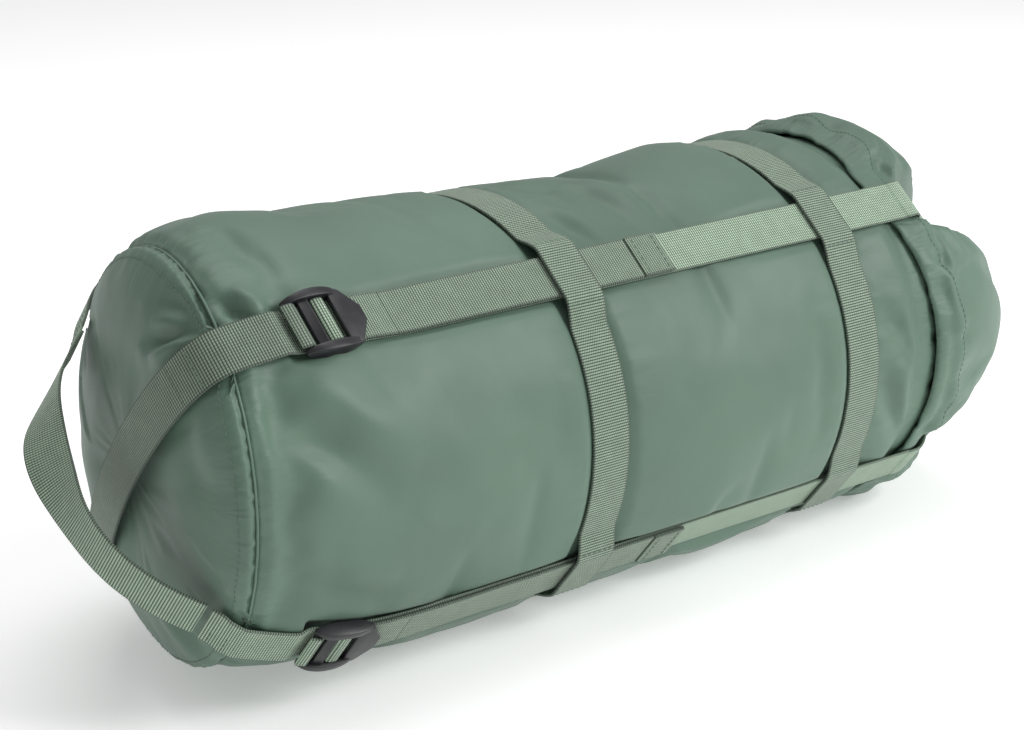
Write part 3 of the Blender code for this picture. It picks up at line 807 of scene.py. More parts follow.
# Folds of the side wall: path of (station, degrees round the axis), width, depth and ridge.
WALL_FOLDS = [
    ([(-0.004, 88), (0.000, 74), (0.004, 60)], 0.0070, 0.0022, 0.5),
    ([(-0.050, 74), (-0.040, 63), (-0.028, 53)], 0.0065, 0.0020, 0.6),
    ([(-0.042, 96), (-0.028, 88), (-0.010, 84)], 0.0080, 0.0018, 0.4),
    ([(-0.270, 34), (-0.240, 19), (-0.204, 2)], 0.0100, 0.0028, 0.8),
    ([(-0.249, 30), (-0.222, 16), (-0.178, 1), (-0.150, -8)], 0.0110, 0.0022, 0.7),
    ([(-0.2655, 63), (-0.2625, 58), (-0.2580, 52)], 0.0042, 0.0034, 0.9),
    ([(0.146, -2), (0.165, -16), (0.186, -30)], 0.0070, 0.0030, 0.8),
    ([(0.150, 18), (0.168, 6), (0.184, -6)], 0.0060, 0.0018, 0.6),
    ([(-0.255, -14), (-0.235, -20), (-0.205, -24)], 0.0080, 0.0020, 0.6),
    ([(0.020, 30), (0.055, 22), (0.095, 18)], 0.0150, 0.0012, 0.5),
    ([(0.015, -20), (0.060, -12), (0.110, -14)], 0.0150, 0.0012, 0.5),
    ([(-0.040, 10), (0.000, 0), (0.050, 4)], 0.0160, 0.0010, 0.5),
    ([(-0.140, 20), (-0.110, 8), (-0.085, -6)], 0.0140, 0.0014, 0.6),
    ([(-0.250, 100), (-0.215, 108), (-0.170, 104)], 0.0110, 0.0020, 0.6),
    ([(0.010, 112), (0.050, 118), (0.100, 110)], 0.0110, 0.0020, 0.6),
    ([(-0.235, 165), (-0.190, 176), (-0.130, 168)], 0.0110, 0.0022, 0.6),
    ([(-0.040, 160), (0.010, 172), (0.080, 164)], 0.0130, 0.0018, 0.6),
    ([(-0.220, -160), (-0.160, -168), (-0.090, -158)], 0.0120, 0.0020, 0.6),
    ([(0.145, 160), (0.165, 172), (0.186, 182)], 0.0070, 0.0026, 0.8),
]

# Folds of the base: path of (across, up from the axis), width, depth and ridge.
BASE_FOLDS = [
    ([(-0.0281, 0.0819), (-0.051, 0.0909), (-0.063, 0.0943)], 0.0045, 0.0044, 0.9),
    ([(-0.0245, 0.1002), (-0.0417, 0.1012), (-0.0593, 0.0962)], 0.0050, 0.0026, 0.7),
    ([(-0.052, -0.030), (-0.066, -0.044), (-0.074, -0.060)], 0.0050, 0.0024, 0.7),
    ([(-0.030, -0.042), (-0.048, -0.058), (-0.058, -0.074)], 0.0060, 0.0020, 0.7),
    ([(-0.070, -0.018), (-0.083, -0.026), (-0.092, -0.034)], 0.0050, 0.0016, 0.7),
    ([(0.060, 0.040), (0.076, 0.052), (0.084, 0.062)], 0.0070, 0.0020, 0.7),
    ([(0.050, -0.050), (0.064, -0.062), (0.072, -0.070)], 0.0070, 0.0020, 0.7),
    ([(-0.085, 0.020), (-0.070, 0.036), (-0.062, 0.054)], 0.0080, 0.0014, 0.7),
]


class SACK_OT_fabric(bpy.types.Operator):
    """Side wall and base panel, filled and billowing between the seam, the bands and the straps"""

    bl_idname = "sack.fabric"
    bl_label = "Sack fabric"

    def execute(self, context):
        size = context.scene.sack_sizes
        past, end_radii = np.array(WALL_END).T
        stations = np.concatenate([MOUTH_X + past, np.arange(0.186, -0.2545, -WALL_STEP)])
        side = np.concatenate([stations, [-0.2555, SEAM_X]])
        radii = barrel(side)
        radii[: len(WALL_END)] = end_radii
        rows = [(x, r) for x, r in zip(side, radii)]
        seam_row = len(rows) - 1
        for part in np.linspace(0.0, 1.0, 20)[1:]:
            turn = math.pi / 2 * part
            rows.append((SEAM_X - DOME * math.sin(turn), SEAM_RADIUS * math.cos(turn)))
        x = np.array([row[0] for row in rows])[:, None]
        radius = np.array([row[1] for row in rows])[:, None]
        turn = np.linspace(-math.pi, math.pi, AROUND + 1)[None, :]
        at_top = np.maximum(np.cos(turn - math.radians(107)), 0.0) * np.interp(x, *zip(*TOP_SET))
        at_low = np.maximum(np.cos(turn + math.radians(73)), 0.0) * np.interp(x, *zip(*LOW_SET))
        swell = (at_top + at_low) * (np.arange(len(rows))[:, None] <= seam_row)
        radius = radius + swell - 0.0008 * (np.arange(len(rows))[:, None] < seam_row)
        y = -radius * np.cos(turn)
        z = radius * np.sin(turn)
        weight = lean_weight(x)
        points = np.stack([x + LEAN * y * weight, y, z + RISE * weight + AXIS_Z], axis=2)
        points[:, :, 2] = np.maximum(points[:, :, 2], FLOOR)
        lengths = np.hypot(np.diff(x[:, 0]), np.diff(np.array([r for _, r in rows])))
        travel = np.concatenate([[0.0], np.cumsum(lengths)])
        obj = cloth_grid("sack_cloth", points, turn * SACK_RADIUS, travel[:, None], merge=True)
        at = points_of(obj)
        held = np.zeros(len(at))
        held[at[:, 0] > MOUTH_X - 0.006] = 1.0
        for middle in BAND_X:
            held[np.abs(at[:, 0] - middle) < HALF_WEB] = 1.0
        straight = at[:, 0] - LEAN * at[:, 1] * lean_weight(at[:, 0])
        ring = np.hypot(at[:, 1], at[:, 2] - AXIS_Z - RISE)
        seam = (np.abs(straight - SEAM_X) < 0.003) & (np.abs(ring - SEAM_RADIUS) < 0.002)
        held[seam] = 1.0
        billow(obj, held, size.growth, size.pressure, size.cap)
        soften(obj)
        self.fold(obj, size)
        self.split(obj)
        return {"FINISHED"}

    def fold(self, obj, size):
        """Seam gathers, folds and dips, then the press of straps, bands and floor."""
        points = points_of(obj)
        normal = normals_of(obj)
        turn, _ = round_axis(points)
        straight = points[:, 0] - LEAN * points[:, 1] * lean_weight(points[:, 0])
        tilt = np.hypot(points[:, 1], points[:, 2] - AXIS_Z - RISE)
        on_dome = (straight < SEAM_X + 0.0005) | (normal[:, 0] < -0.75)
        height = np.zeros(len(points))
        for path, width, depth, lip in WALL_FOLDS:
            plan = [(x, math.radians(angle) * SACK_RADIUS) for x, angle in path]
            middle = plan[len(plan) // 2][1] / SACK_RADIUS
            unwound = (turn - middle + math.pi) % (2 * math.pi) - math.pi + middle
            strength = 1.7 if width < 0.0105 else 0.8
            value = crease(points[:, 0], unwound * SACK_RADIUS, plan, width, depth, lip)
            height += strength * np.where(on_dome, 0.0, value)
        for path, width, depth, lip in BASE_FOLDS:
            value = crease(points[:, 1], points[:, 2] - AXIS_Z, path, width, depth, lip)
            height += 1.5 * np.where(on_dome, value, 0.0)
        seam = np.abs(straight - SEAM_X) + np.abs(np.minimum(tilt - SEAM_RADIUS, 0.0)) * on_dome
        gather = uneven(turn, 90, 0.7) * np.exp(-seam / 0.009) * (1 - np.exp(-seam / 0.0018))
        for middle in BAND_X:
            off = np.abs(points[:, 0] - middle) - HALF_WEB
            gather += 0.8 * uneven(turn, 64, 2.1 + middle) * np.exp(-np.maximum(off, 0) / 0.010) * (off > 0)
        rim = np.maximum(MOUTH_X - points[:, 0], 0.0)
        gather += 1.1 * uneven(turn, 46, 4.2) * np.exp(-rim / 0.012)
        wide = uneven(turn, 7, 1.3) * np.sin(points[:, 0] * 38 + 2 * uneven(turn, 3, 0.4))
        wide += 0.6 * uneven(turn, 13, 5.3) * np.sin(points[:, 0] * 71 + 1.0)
        quiet = np.exp(-(np.maximum(seam, 0.0) / 0.02))
        height += size.pucker * gather + 0.0006 * wide * (1 - quiet)
        points = points + normal * height[:, None]
        wall = ~on_dome
        points[wall] = press_down(points[wall])
        dome = points[on_dome]
        limit = base_x(dome[:, 1], dome[:, 2]) + 0.0002
        slack = np.full(len(dome), 1.0)
        for name in LID_WEBS:
            angle = STRAPS[name]
            off = aside(dome, angle)
            bare = 0.0
            if name == "front_lower":
                reach = -dome[:, 1] * math.cos(angle) + (dome[:, 2] - AXIS_Z) * math.sin(angle)
                off = off - handle_shift(reach)
                bare = smooth((0.092 - np.abs(reach)) / 0.01)
            off = np.abs(off)
            wide = PRESSED + 0.014 * bare
            slack = np.minimum(slack, np.maximum(off - wide, 0.0) * 0.8)
            if name == "front_lower":
                # The swinging loop's edge dips here.
                slack -= 0.0042 * bare * np.exp(-((off / 0.024) ** 2)) * smooth((reach - 0.02) / 0.04)
        dome[:, 0] = np.maximum(dome[:, 0], limit - slack)
        points[on_dome] = dome
        points[:, 2] = np.maximum(points[:, 2], FLOOR + 0.0003 * (1 + uneven(turn, 31, 3.3)))
        move_points(obj, points)
        near = np.exp(-seam / 0.020) + 0.9 * np.exp(-rim / 0.020)
        for middle in BAND_X:
            near += 0.6 * np.exp(-np.abs(points[:, 0] - middle) / 0.018)
        mark_gathers(obj, near)

    def split(self, obj):
        """Parts the cloth at its seam and gives each panel its thickness."""
        only(obj)
        bpy.ops.object.mode_set(mode="EDIT")
        bpy.ops.mesh.select_mode(type="FACE")
        bpy.ops.mesh.select_all(action="DESELECT")
        bpy.ops.object.mode_set(mode="OBJECT")
        points = points_of(obj)
        straight = points[:, 0] - LEAN * points[:, 1] * lean_weight(points[:, 0])
        for face in obj.data.polygons:
            middle = straight[list(face.vertices)].mean()
            face.select = bool(middle < SEAM_X - 0.0002)
        bpy.ops.object.mode_set(mode="EDIT")
        bpy.ops.mesh.separate(type="SELECTED")
        bpy.ops.mesh.select_mode(type="VERT")
        bpy.ops.object.mode_set(mode="OBJECT")
        base = [other for other in bpy.context.selected_objects if other != obj][0]
        obj.name, base.name = "side_wall", "base_dome"
        for piece in (obj, base):
            thicken(piece, 0.0012, offset=-1.0)
            piece.data.shade_smooth()
        dress(obj, "coated_nylon", "nylon", "root", "body_panel")
        dress(base, "coated_nylon", "nylon", "root", "base_panel")


class SACK_OT_seam(bpy.types.Operator):
    """Raised base seam and the line of topstitching inside it"""

    bl_idname = "sack.seam"
    bl_label = "Base seam"

    def execute(self, context):
        turn = np.linspace(-math.pi, math.pi, 241)
        section = np.linspace(0.0, 2 * math.pi, 9)
        radius = SEAM_RADIUS + 0.0004 + 0.00020 * uneven(turn, 40, 0.9)
        around, along = np.meshgrid(turn, section, indexing="ij")
        out = radius[:, None] + 0.0007 * np.cos(along)
        straight = SEAM_X - 0.0002 + 0.0009 * np.sin(along)
        y = -out * np.cos(around)
        points = np.stack([straight + LEAN * y, y, out * np.sin(around) + AXIS_Z + RISE], axis=2)
        points[:, :, 2] = np.maximum(points[:, :, 2], FLOOR)
        welt = cloth_grid("seam_welt", points, along * 0.0012, around * SEAM_RADIUS, merge=True)
        face_outward(welt)
        dress(welt, "coated_nylon", "nylon", "root", "base_seam_binding")
        tree = surface_tree(bpy.data.objects["base_dome"])
        spots = []
        for angle in np.linspace(-math.pi, math.pi, 400):
            reach = SEAM_RADIUS * 0.972
            spots.append(on_base(tree, -reach * math.cos(angle), reach * math.sin(angle) + AXIS_Z + RISE))
        row = stitch_row("seam_topstitch", spots)
        dress(row, "polyester_thread", "webbing", "root")
        return {"FINISHED"}


class SACK_OT_collar(bpy.types.Operator):
    """Gathered neck under the lid, its cord channel and two eyelets"""

    bl_idname = "sack.collar"
    bl_label = "Neck"

    def execute(self, context):
        turn = np.linspace(-math.pi, math.pi, 2 * AROUND + 1)[None, :]
        part = np.linspace(0.0, 1.0, 22)[:, None]
        share, station, ring = zip(*NECK)
        x = np.interp(part, share, station)
        radius = np.interp(part, share, ring)
        radius = radius + 0.0014 * (0.3 + 0.7 * part) * uneven(turn, 44, 1.9) - 0.0006
        points = np.stack([x + 0 * turn, -radius * np.cos(turn), radius * np.sin(turn) + AXIS_Z], axis=2)
        neck = cloth_grid("neck", points[::-1], turn * 0.08, part[::-1] * 0.05, merge=True)
        thicken(neck, 0.0009, offset=0.0)
        dress(neck, "coated_nylon", "nylon", "root", "mouth_collar")
        section = np.linspace(0.0, 2 * math.pi, 13)[None, :]
        around = np.linspace(-math.pi, math.pi, 2 * AROUND + 1)[:, None]
        gather = 0.0005 * uneven(around, 44, 1.9)
        out = 0.0686 + gather + 0.0020 * np.cos(section)
        along = 0.2383 + 0.0080 * np.sin(section)
        points = np.stack([along + 0 * around, -out * np.cos(around), out * np.sin(around) + AXIS_Z], axis=2)
        channel = cloth_grid("cord_channel", points, section * 0.005, around * 0.07, merge=True)
        face_outward(channel)
        dress(channel, "coated_nylon", "nylon", "root", "drawcord_channel")
        for index, lean in enumerate((9.0, -9.0)):
            angle = math.radians(lean)
            bpy.ops.object.select_all(action="DESELECT")
            bpy.ops.mesh.primitive_torus_add(
                major_radius=0.0038, minor_radius=0.0009, major_segments=32, minor_segments=10
            )
            eyelet = bpy.context.active_object
            eyelet.name = f"eyelet_{index + 1}"
            height = 0.0718
            eyelet.data.transform(Matrix.Diagonal((1.0, 1.0, 0.7, 1.0)))
            spot = (0.2386, -math.sin(angle) * height, AXIS_Z + math.cos(angle) * height)
            eyelet.data.transform(Matrix.Translation(spot) @ Matrix.Rotation(angle, 4, "X"))
            eyelet.data.shade_smooth()
            dress(eyelet, "plated_brass", "eyelet", "root", f"drawcord_eyelet_{index + 1}")
        return {"FINISHED"}


# Folds of the lid: path of (station, degrees round the axis), width, depth and ridge.
LID_FOLDS = [
    ([(0.200, 59), (0.214, 62), (0.236, 66)], 0.0060, 0.0036, 0.8),
    ([(0.199, 30), (0.212, 26), (0.226, 28)], 0.0040, 0.0022, 0.8),
    ([(0.199, 8), (0.208, 3), (0.222, 4)], 0.0040, 0.0022, 0.8),
    ([(0.199, -14), (0.214, -22), (0.232, -24)], 0.0055, 0.0028, 0.8),
    ([(0.200, -54), (0.222, -60), (0.250, -62)], 0.0065, 0.0040, 0.9),
    ([(0.202, -68), (0.226, -76), (0.250, -80)], 0.0065, 0.0036, 0.9),
    ([(0.204, -34), (0.226, -30), (0.252, -26)], 0.0065, 0.0030, 0.8),
    ([(0.200, 82), (0.216, 86), (0.240, 84)], 0.0080, 0.0026, 0.7),
    ([(0.200, 112), (0.222, 108), (0.250, 110)], 0.0080, 0.0026, 0.7),
    ([(0.200, 156), (0.220, 162), (0.248, 164)], 0.0070, 0.0030, 0.8),
    ([(0.200, 184), (0.222, 190), (0.250, 186)], 0.0070, 0.0030, 0.8),
    ([(0.200, -112), (0.222, -108), (0.250, -106)], 0.0070, 0.0030, 0.8),
    ([(0.262, 20), (0.284, 16), (0.300, 4)], 0.0080, 0.0022, 0.7),
]


# How far the lid's rim lies forward of its mean line, in metres, at degrees round the axis.
RIM_SET = [(-180, 0.0), (-70, 0.0), (-50, 0.004), (-30, 0.006), (-12, 0.0085), (4, 0.009), (19, 0.0075)]
RIM_SET += [(32, 0.003), (45, -0.003), (59, -0.007), (72, 0.001), (90, 0.004), (110, 0.003)]
RIM_SET += [(140, 0.0), (180, 0.0)]


def slumped(points):
    """Lid points as they sit on a full sack: the top fallen back, the end pushed up."""
    high = smooth((points[:, 2] - AXIS_Z + 0.010) / 0.085)
    forward = smooth((points[:, 0] - LID_RIM_X) / 0.070)
    points[:, 0] -= (LID_PUSH + LID_SLUMP * high) * forward
    points[:, 2] += LID_RISE * forward
    return points


def lid_line(height):
    """(along, out) of the path of a web over the lid, sunk between the lobes, at a height over the cloth."""
    line = [Vector((LID_RIM_X - 0.002, LID_RADIUS))]
    for step in range(61):
        turn = math.pi * step / 60
        along = math.sin(turn) ** (2 / 2.2)
        line.append(Vector((LID_RIM_X + LID_LENGTH * along, LID_RADIUS * math.cos(turn))))
    line.append(Vector((LID_RIM_X - 0.002, -LID_RADIUS)))
    moved = []
    for point, above in zip(line, lifted(line, 0.001)):
        sunk = LID_CINCH * float(smooth((point.x - LID_RIM_X - 0.006) / 0.032))
        moved.append(point + (above - point) / 0.001 * (height - sunk))
    return moved


class SACK_OT_lid(bpy.types.Operator):
    """Lid cap, filled into four lobes between its crossing webs, with its hem"""

    bl_idname = "sack.lid"
    bl_label = "Lid"

    def execute(self, context):
        size = context.scene.sack_sizes
        turn = np.linspace(-math.pi, math.pi, AROUND + 1)[None, :]
        rim = np.interp(np.degrees(turn), *zip(*RIM_SET))
        for angle in list(STRAPS.values())[1:]:
            rim = rim - 0.003 * np.exp(-(((np.degrees(turn - angle) + 180) % 360 - 180) / 12) ** 2)
        part = np.linspace(0.0, 1.0, 36)[:, None]
        along = np.sin(part * math.pi / 2)
        x = LID_RIM_X + LID_LENGTH * along + (rim - LID_LAP) * (1 - part) ** 3
        beside = np.min([np.abs(np.sin(turn - STRAPS[name])) for name in LID_WEBS], axis=0)
        lobe = smooth(beside * LID_RADIUS / 0.045)
        fade = np.sin(np.clip(part, 0.0, 1.0) * math.pi) ** 0.7
        radius = lid_out(LID_RIM_X + LID_LENGTH * along) + 0.0060 * lobe * fade - 0.001
        points = np.stack([x, -radius * np.cos(turn), radius * np.sin(turn) + AXIS_Z], axis=2)
        points[:, :, 2] = np.maximum(points[:, :, 2], FLOOR)
        obj = cloth_grid("lid_cap", points[::-1], turn * LID_RADIUS, part[::-1] * 0.17, merge=True)
        at = points_of(obj)
        held = np.zeros(len(at))
        held[at[:, 0] < LID_RIM_X - 0.002] = 1.0
        for name in LID_WEBS:
            held[np.abs(aside(at, STRAPS[name])) < 0.011] = 1.0
        billow(obj, held, size.growth * 1.6, size.pressure, size.cap)
        soften(obj)
        points = points_of(obj)
        normal = normals_of(obj)
        angles, _ = round_axis(points)
        height = np.zeros(len(points))
        for path, width, depth, lip in LID_FOLDS:
            plan = [(x, math.radians(angle) * LID_RADIUS) for x, angle in path]
            middle = plan[1][1] / LID_RADIUS
            unwound = (angles - middle + math.pi) % (2 * math.pi) - math.pi + middle
            height += crease(points[:, 0], unwound * LID_RADIUS, plan, width, depth, lip)
        inward = np.maximum(points[:, 0] - LID_RIM_X + LID_LAP - np.interp(angles, turn[0], rim[0]), 0.0)
        height += 0.0009 * uneven(angles, 40, 3.1) * np.exp(-inward / 0.014)
        height += 0.0004 * np.tanh((0.0205 - inward) / 0.0008)
        for name in LID_WEBS:
            angle = STRAPS[name]
            off = np.abs(aside(points, angle))
            beside = np.exp(-np.maximum(off - PRESSED, 0.0) / 0.009)
            height += 0.0009 * uneven(points[:, 0] * 30 + angle, 6, 1.1) * beside * (off > PRESSED)
            height -= 0.0006 * (off < 0.0140)
        points = points + normal * height[:, None]
        profile = np.array([tuple(point) for point in lid_line(-0.0004)])
        profile = profile[profile[:, 1] > -0.001]
        bearing = np.arctan2(profile[:, 1], profile[:, 0] - LID_RIM_X)
        reach = np.hypot(profile[:, 1], profile[:, 0] - LID_RIM_X)
        order = np.argsort(bearing)
        for name in LID_WEBS:
            angle = STRAPS[name]
            off = np.abs(aside(points, angle))
            _, ring = round_axis(points)
            ahead = points[:, 0] - LID_RIM_X
            allowed = np.interp(np.arctan2(ring, np.maximum(ahead, 0.0)), bearing[order], reach[order])
            allowed = allowed + np.maximum(off - PRESSED, 0.0) * 1.3
            scale = np.minimum(allowed / np.maximum(np.hypot(ring, np.maximum(ahead, 0.0)), 1e-5), 1.0)
            points[:, 1] *= scale
            points[:, 2] = (points[:, 2] - AXIS_Z) * scale + AXIS_Z
            points[:, 0] = np.where(ahead > 0, ahead * scale + LID_RIM_X, points[:, 0])
        points[:, 2] = np.maximum(points[:, 2], FLOOR)
        move_points(obj, slumped(points))
        mark_gathers(obj, np.exp(-inward / 0.020) + np.exp(-np.abs(inward - LID_HEM) / 0.006))
        thicken(obj, 0.0014, offset=-1.0)
        obj.data.shade_smooth()
        dress(obj, "coated_nylon", "nylon", "lid", "lid_crown", "lid_hem_facing")
        tree = surface_tree(obj)
        spots = []
        for spot_turn in np.linspace(-math.pi, math.pi, 420):
            edge = LID_RIM_X - LID_LAP + float(np.interp(spot_turn, turn[0], rim[0]))
            spots.append(on_wall(tree, edge + LID_HEM, spot_turn))
        stitches = stitch_row("lid_hem_stitches", spots, sink=0.7)
        dress(stitches, "polyester_thread", "webbing", "lid")
        return {"FINISHED"}


class SACK_OT_lid_webs(bpy.types.Operator):
    """Two lengths of webbing that cross on the lid"""

    bl_idname = "sack.lid_webs"
    bl_label = "Lid webbing"

    def execute(self, context):
        for index, name in enumerate(("front_lower", "front_upper")):
            angle = STRAPS[name]
            line = lid_line(GAP + WEB / 2)
            cross = lid_line(GAP + WEB / 2 + WEB + 2 * GAP)
            raised = []
            for point, above in zip(line, cross):
                near = float(smooth(2.4 - abs(point.y) / 0.012)) if index else 0.0
                raised.append(point.lerp(above, near))
            centres = slumped(world_line(flowing(raised, WEB_STEP), angle))
            web = strip(f"lid_webbing_{index + 1}", centres, across_of(angle))
            dress(web, "polyester_webbing_painted_light", "webbing", "lid", f"lid_web_{index + 1}")
        return {"FINISHED"}


class SACK_OT_bands(bpy.types.Operator):
    """Two keeper bands that the side straps pass under, sewn down beside each strap"""

    bl_idname = "sack.bands"
    bl_label = "Keeper bands"

    def execute(self, context):
        count = 360
        turn = np.linspace(-math.pi, math.pi, count + 1)
        low = SACK_RADIUS - BAND_PINCH + 0.0011 + WEB / 2
        for index, middle in enumerate(BAND_X):
            # The first band leaves room for a strap, its tail and the tail's hem, the second for a strap.
            tunnel = SACK_RADIUS + WEB / 2 + (0.0051, 0.0028)[index]
            radius = np.full(count + 1, low)
            for angle in STRAPS.values():
                off = np.abs((turn - angle + math.pi) % (2 * math.pi) - math.pi)
                high = tunnel / np.cos(np.minimum(off, math.radians(7)))
                raised = smooth((math.radians(16.0) - off) / math.radians(9.0))
                radius = np.maximum(radius, low + (high - low) * raised)
            z = np.maximum(radius * np.sin(turn) + AXIS_Z, WEB / 2)
            centres = np.column_stack([np.full(count + 1, middle), -radius * np.cos(turn), z])

            def ripple(travel, u, seed=index):
                angle = np.interp(travel, [0.0, travel.max()], [-math.pi, math.pi])
                high = np.exp(-(((np.degrees(angle) - 70) / 12) ** 2)) + 0.6 * np.exp(
                    -(((np.degrees(angle) - 112) / 14) ** 2)
                )
                folds = 0.00055 * high * np.sin((travel + 0.9 * u) * 2 * math.pi / 0.011 + seed)
                return np.abs(folds) * 0.6 + 0.00008 * uneven(angle, 30, 1.0 + seed)

            band = strip(f"band_{index + 1}", centres, (-1.0, 0.0, 0.0), ripple=ripple, closed=True)
            dress(band, "polyester_webbing_bands_painted_shade", "webbing", "root", f"keeper_band_{index + 1}")
            tree = surface_tree(band)
            rows = []
            for angle in STRAPS.values():
                for side in (-1, 1):
                    spot_turn = angle + side * math.radians(9.5)
                    stations = middle + np.linspace(-0.011, 0.011, 14)
                    rows.append(stitch_row("row", [on_wall(tree, x, spot_turn) for x in stations]))
            sewn = joined(f"band_stitches_{index + 1}", rows)
            dress(sewn, "polyester_thread", "webbing", "root")
        return {"FINISHED"}


def rounded_outline(points, spacing=0.0011):
    """A closed outline smoothed through these corners, as (x, y) pairs."""
    loop = [Vector(p) for p in points]
    line = flowing(loop[-2:] + loop + loop[:2], spacing)
    given = np.array([tuple(p) for p in loop[:1]])
    first = int(np.argmin(np.linalg.norm(line[: len(line) // 2] - given, axis=1)))
    last = len(line) // 2 + int(np.argmin(np.linalg.norm(line[len(line) // 2 :] - given, axis=1)))
    return [tuple(p) for p in line[first:last]]


def buckle_parts():
    """One ladder-lock buckle in its own frame: rear bar at the origin, +X to its tab, +Y out, +Z across."""
    inside = WEB_WIDTH / 2 + GAP
    cheek = [(-0.0030, 0.0), (-0.0020, -0.0021), (0.0068, -0.0029), (0.0187, -0.0029), (0.0281, -0.0012)]
    cheek += [(0.0309, 0.0006), (0.0264, 0.0036), (0.0187, 0.0052), (0.0094, 0.0052), (0.0018, 0.0036)]
    cheek = rounded_outline(cheek)
    parts = []
    for side in (-1, 1):
        middle = side * (inside + CHEEK / 2)
        rail = plate("cheek", cheek, middle - CHEEK / 2, middle + CHEEK / 2, bevel=0.0009)
        points = points_of(rail)
        bow = 1.0 - ((points[:, 0] - 0.0140) / 0.0172) ** 2
        outer = smooth((side * points[:, 2] - inside - 0.0008) / 0.0016)
        points[:, 2] += side * (0.0024 * np.maximum(bow, 0.0) - 0.0008) * outer
        move_points(rail, points)
        parts.append(rail)
    width = inside + CHEEK / 2
    rear = [tuple(p) for p in arc(Vector((0.0, 0.0)), BAR_RADIUS, 0, 345, 23)]
    parts.append(plate("rear_bar", rear, -width, width, bevel=0.0002))
    cross = [(0.0044, 0.0004), (0.0098, -0.0004), (0.0104, 0.0012), (0.0102, 0.0036), (0.0093, 0.0040)]
    cross += [(0.0085, 0.0034), (0.0046, 0.0026)]
    parts.append(plate("cross_bar", cross, -width, width, bevel=0.0004))
    low, high = ROLL_BAR
    roll = [(low, -0.0010), (high, -0.0010), (high, 0.0008), (high - 0.001, 0.0016)]
    roll += [(low + 0.001, 0.0016), (low, 0.0008)]
    parts.append(plate("roll_bar", roll, -width, width, bevel=0.0003))
    wide = inside + CHEEK - 0.0003
    tab = [(TAB_START, -wide), (0.0285, -wide), (0.0300, -wide + 0.0010), (TAB_TIP - 0.001, -0.0058)]
    tab += [(TAB_TIP, -0.0040), (TAB_TIP, 0.0040), (TAB_TIP - 0.001, 0.0058)]
    tab += [(0.0300, wide - 0.0010), (0.0285, wide), (TAB_START, wide)]
    tongue = plate("tab", tab, -0.0012, 0.0012, bevel=0.0007)
    tongue.data.transform(Matrix.Translation((0, 0.0020, 0)) @ Matrix.Rotation(math.pi / 2, 4, "X"))
    parts.append(tongue)
    return joined("buckle_blank", parts)


class SACK_OT_buckles(bpy.types.Operator):
    """Four ladder-lock buckles and the turn of each strap over its bar"""

    bl_idname = "sack.buckles"
    bl_label = "Buckles"

    def execute(self, context):
        blank = buckle_parts()
        low, high = ROLL_BAR
        off = GAP + WEB / 2
        for name, angle in STRAPS.items():
            centre, along, _ = buckle_frame(angle)
            buckle = bpy.data.objects.new("ladder_lock_" + name, blank.data.copy())
            context.scene.collection.objects.link(buckle)
            tilt = Matrix.Rotation(math.atan2(along.y, along.x), 4, "Z")
            lie = Matrix.Rotation(math.pi - angle, 4, "X")
            buckle.data.transform(Matrix.Translation(world_point(centre, angle)) @ lie @ tilt)
            dress(buckle, "moulded_acetal", "buckle", "buckle_" + name, "buckle_" + name)
            route = [(low - off, -0.0020), (low - off, 0.0008), (low + 0.0003, 0.0016 + off)]
            route += [(high - 0.0003, 0.0016 + off), (high + off, 0.0008), (high + off, -0.0006)]
            line = [buckle_point(angle, x, y) for x, y in route]
            roll = strip("webbing_roll_" + name, world_line(flowing(line, 0.0007), angle), across_of(angle))
            dress(roll, "polyester_webbing", "webbing", "buckle_" + name, "strap_roll_" + name)
        bpy.data.objects.remove(blank, do_unlink=True)
        return {"FINISHED"}


def side_line(start, end, height, count=6):
    """A line above the side wall between two stations, pulled straight between them."""
    stations = [start + (end - start) * step / count for step in range(count + 1)]
    return [Vector((x, SACK_RADIUS + height)) for x in stations]


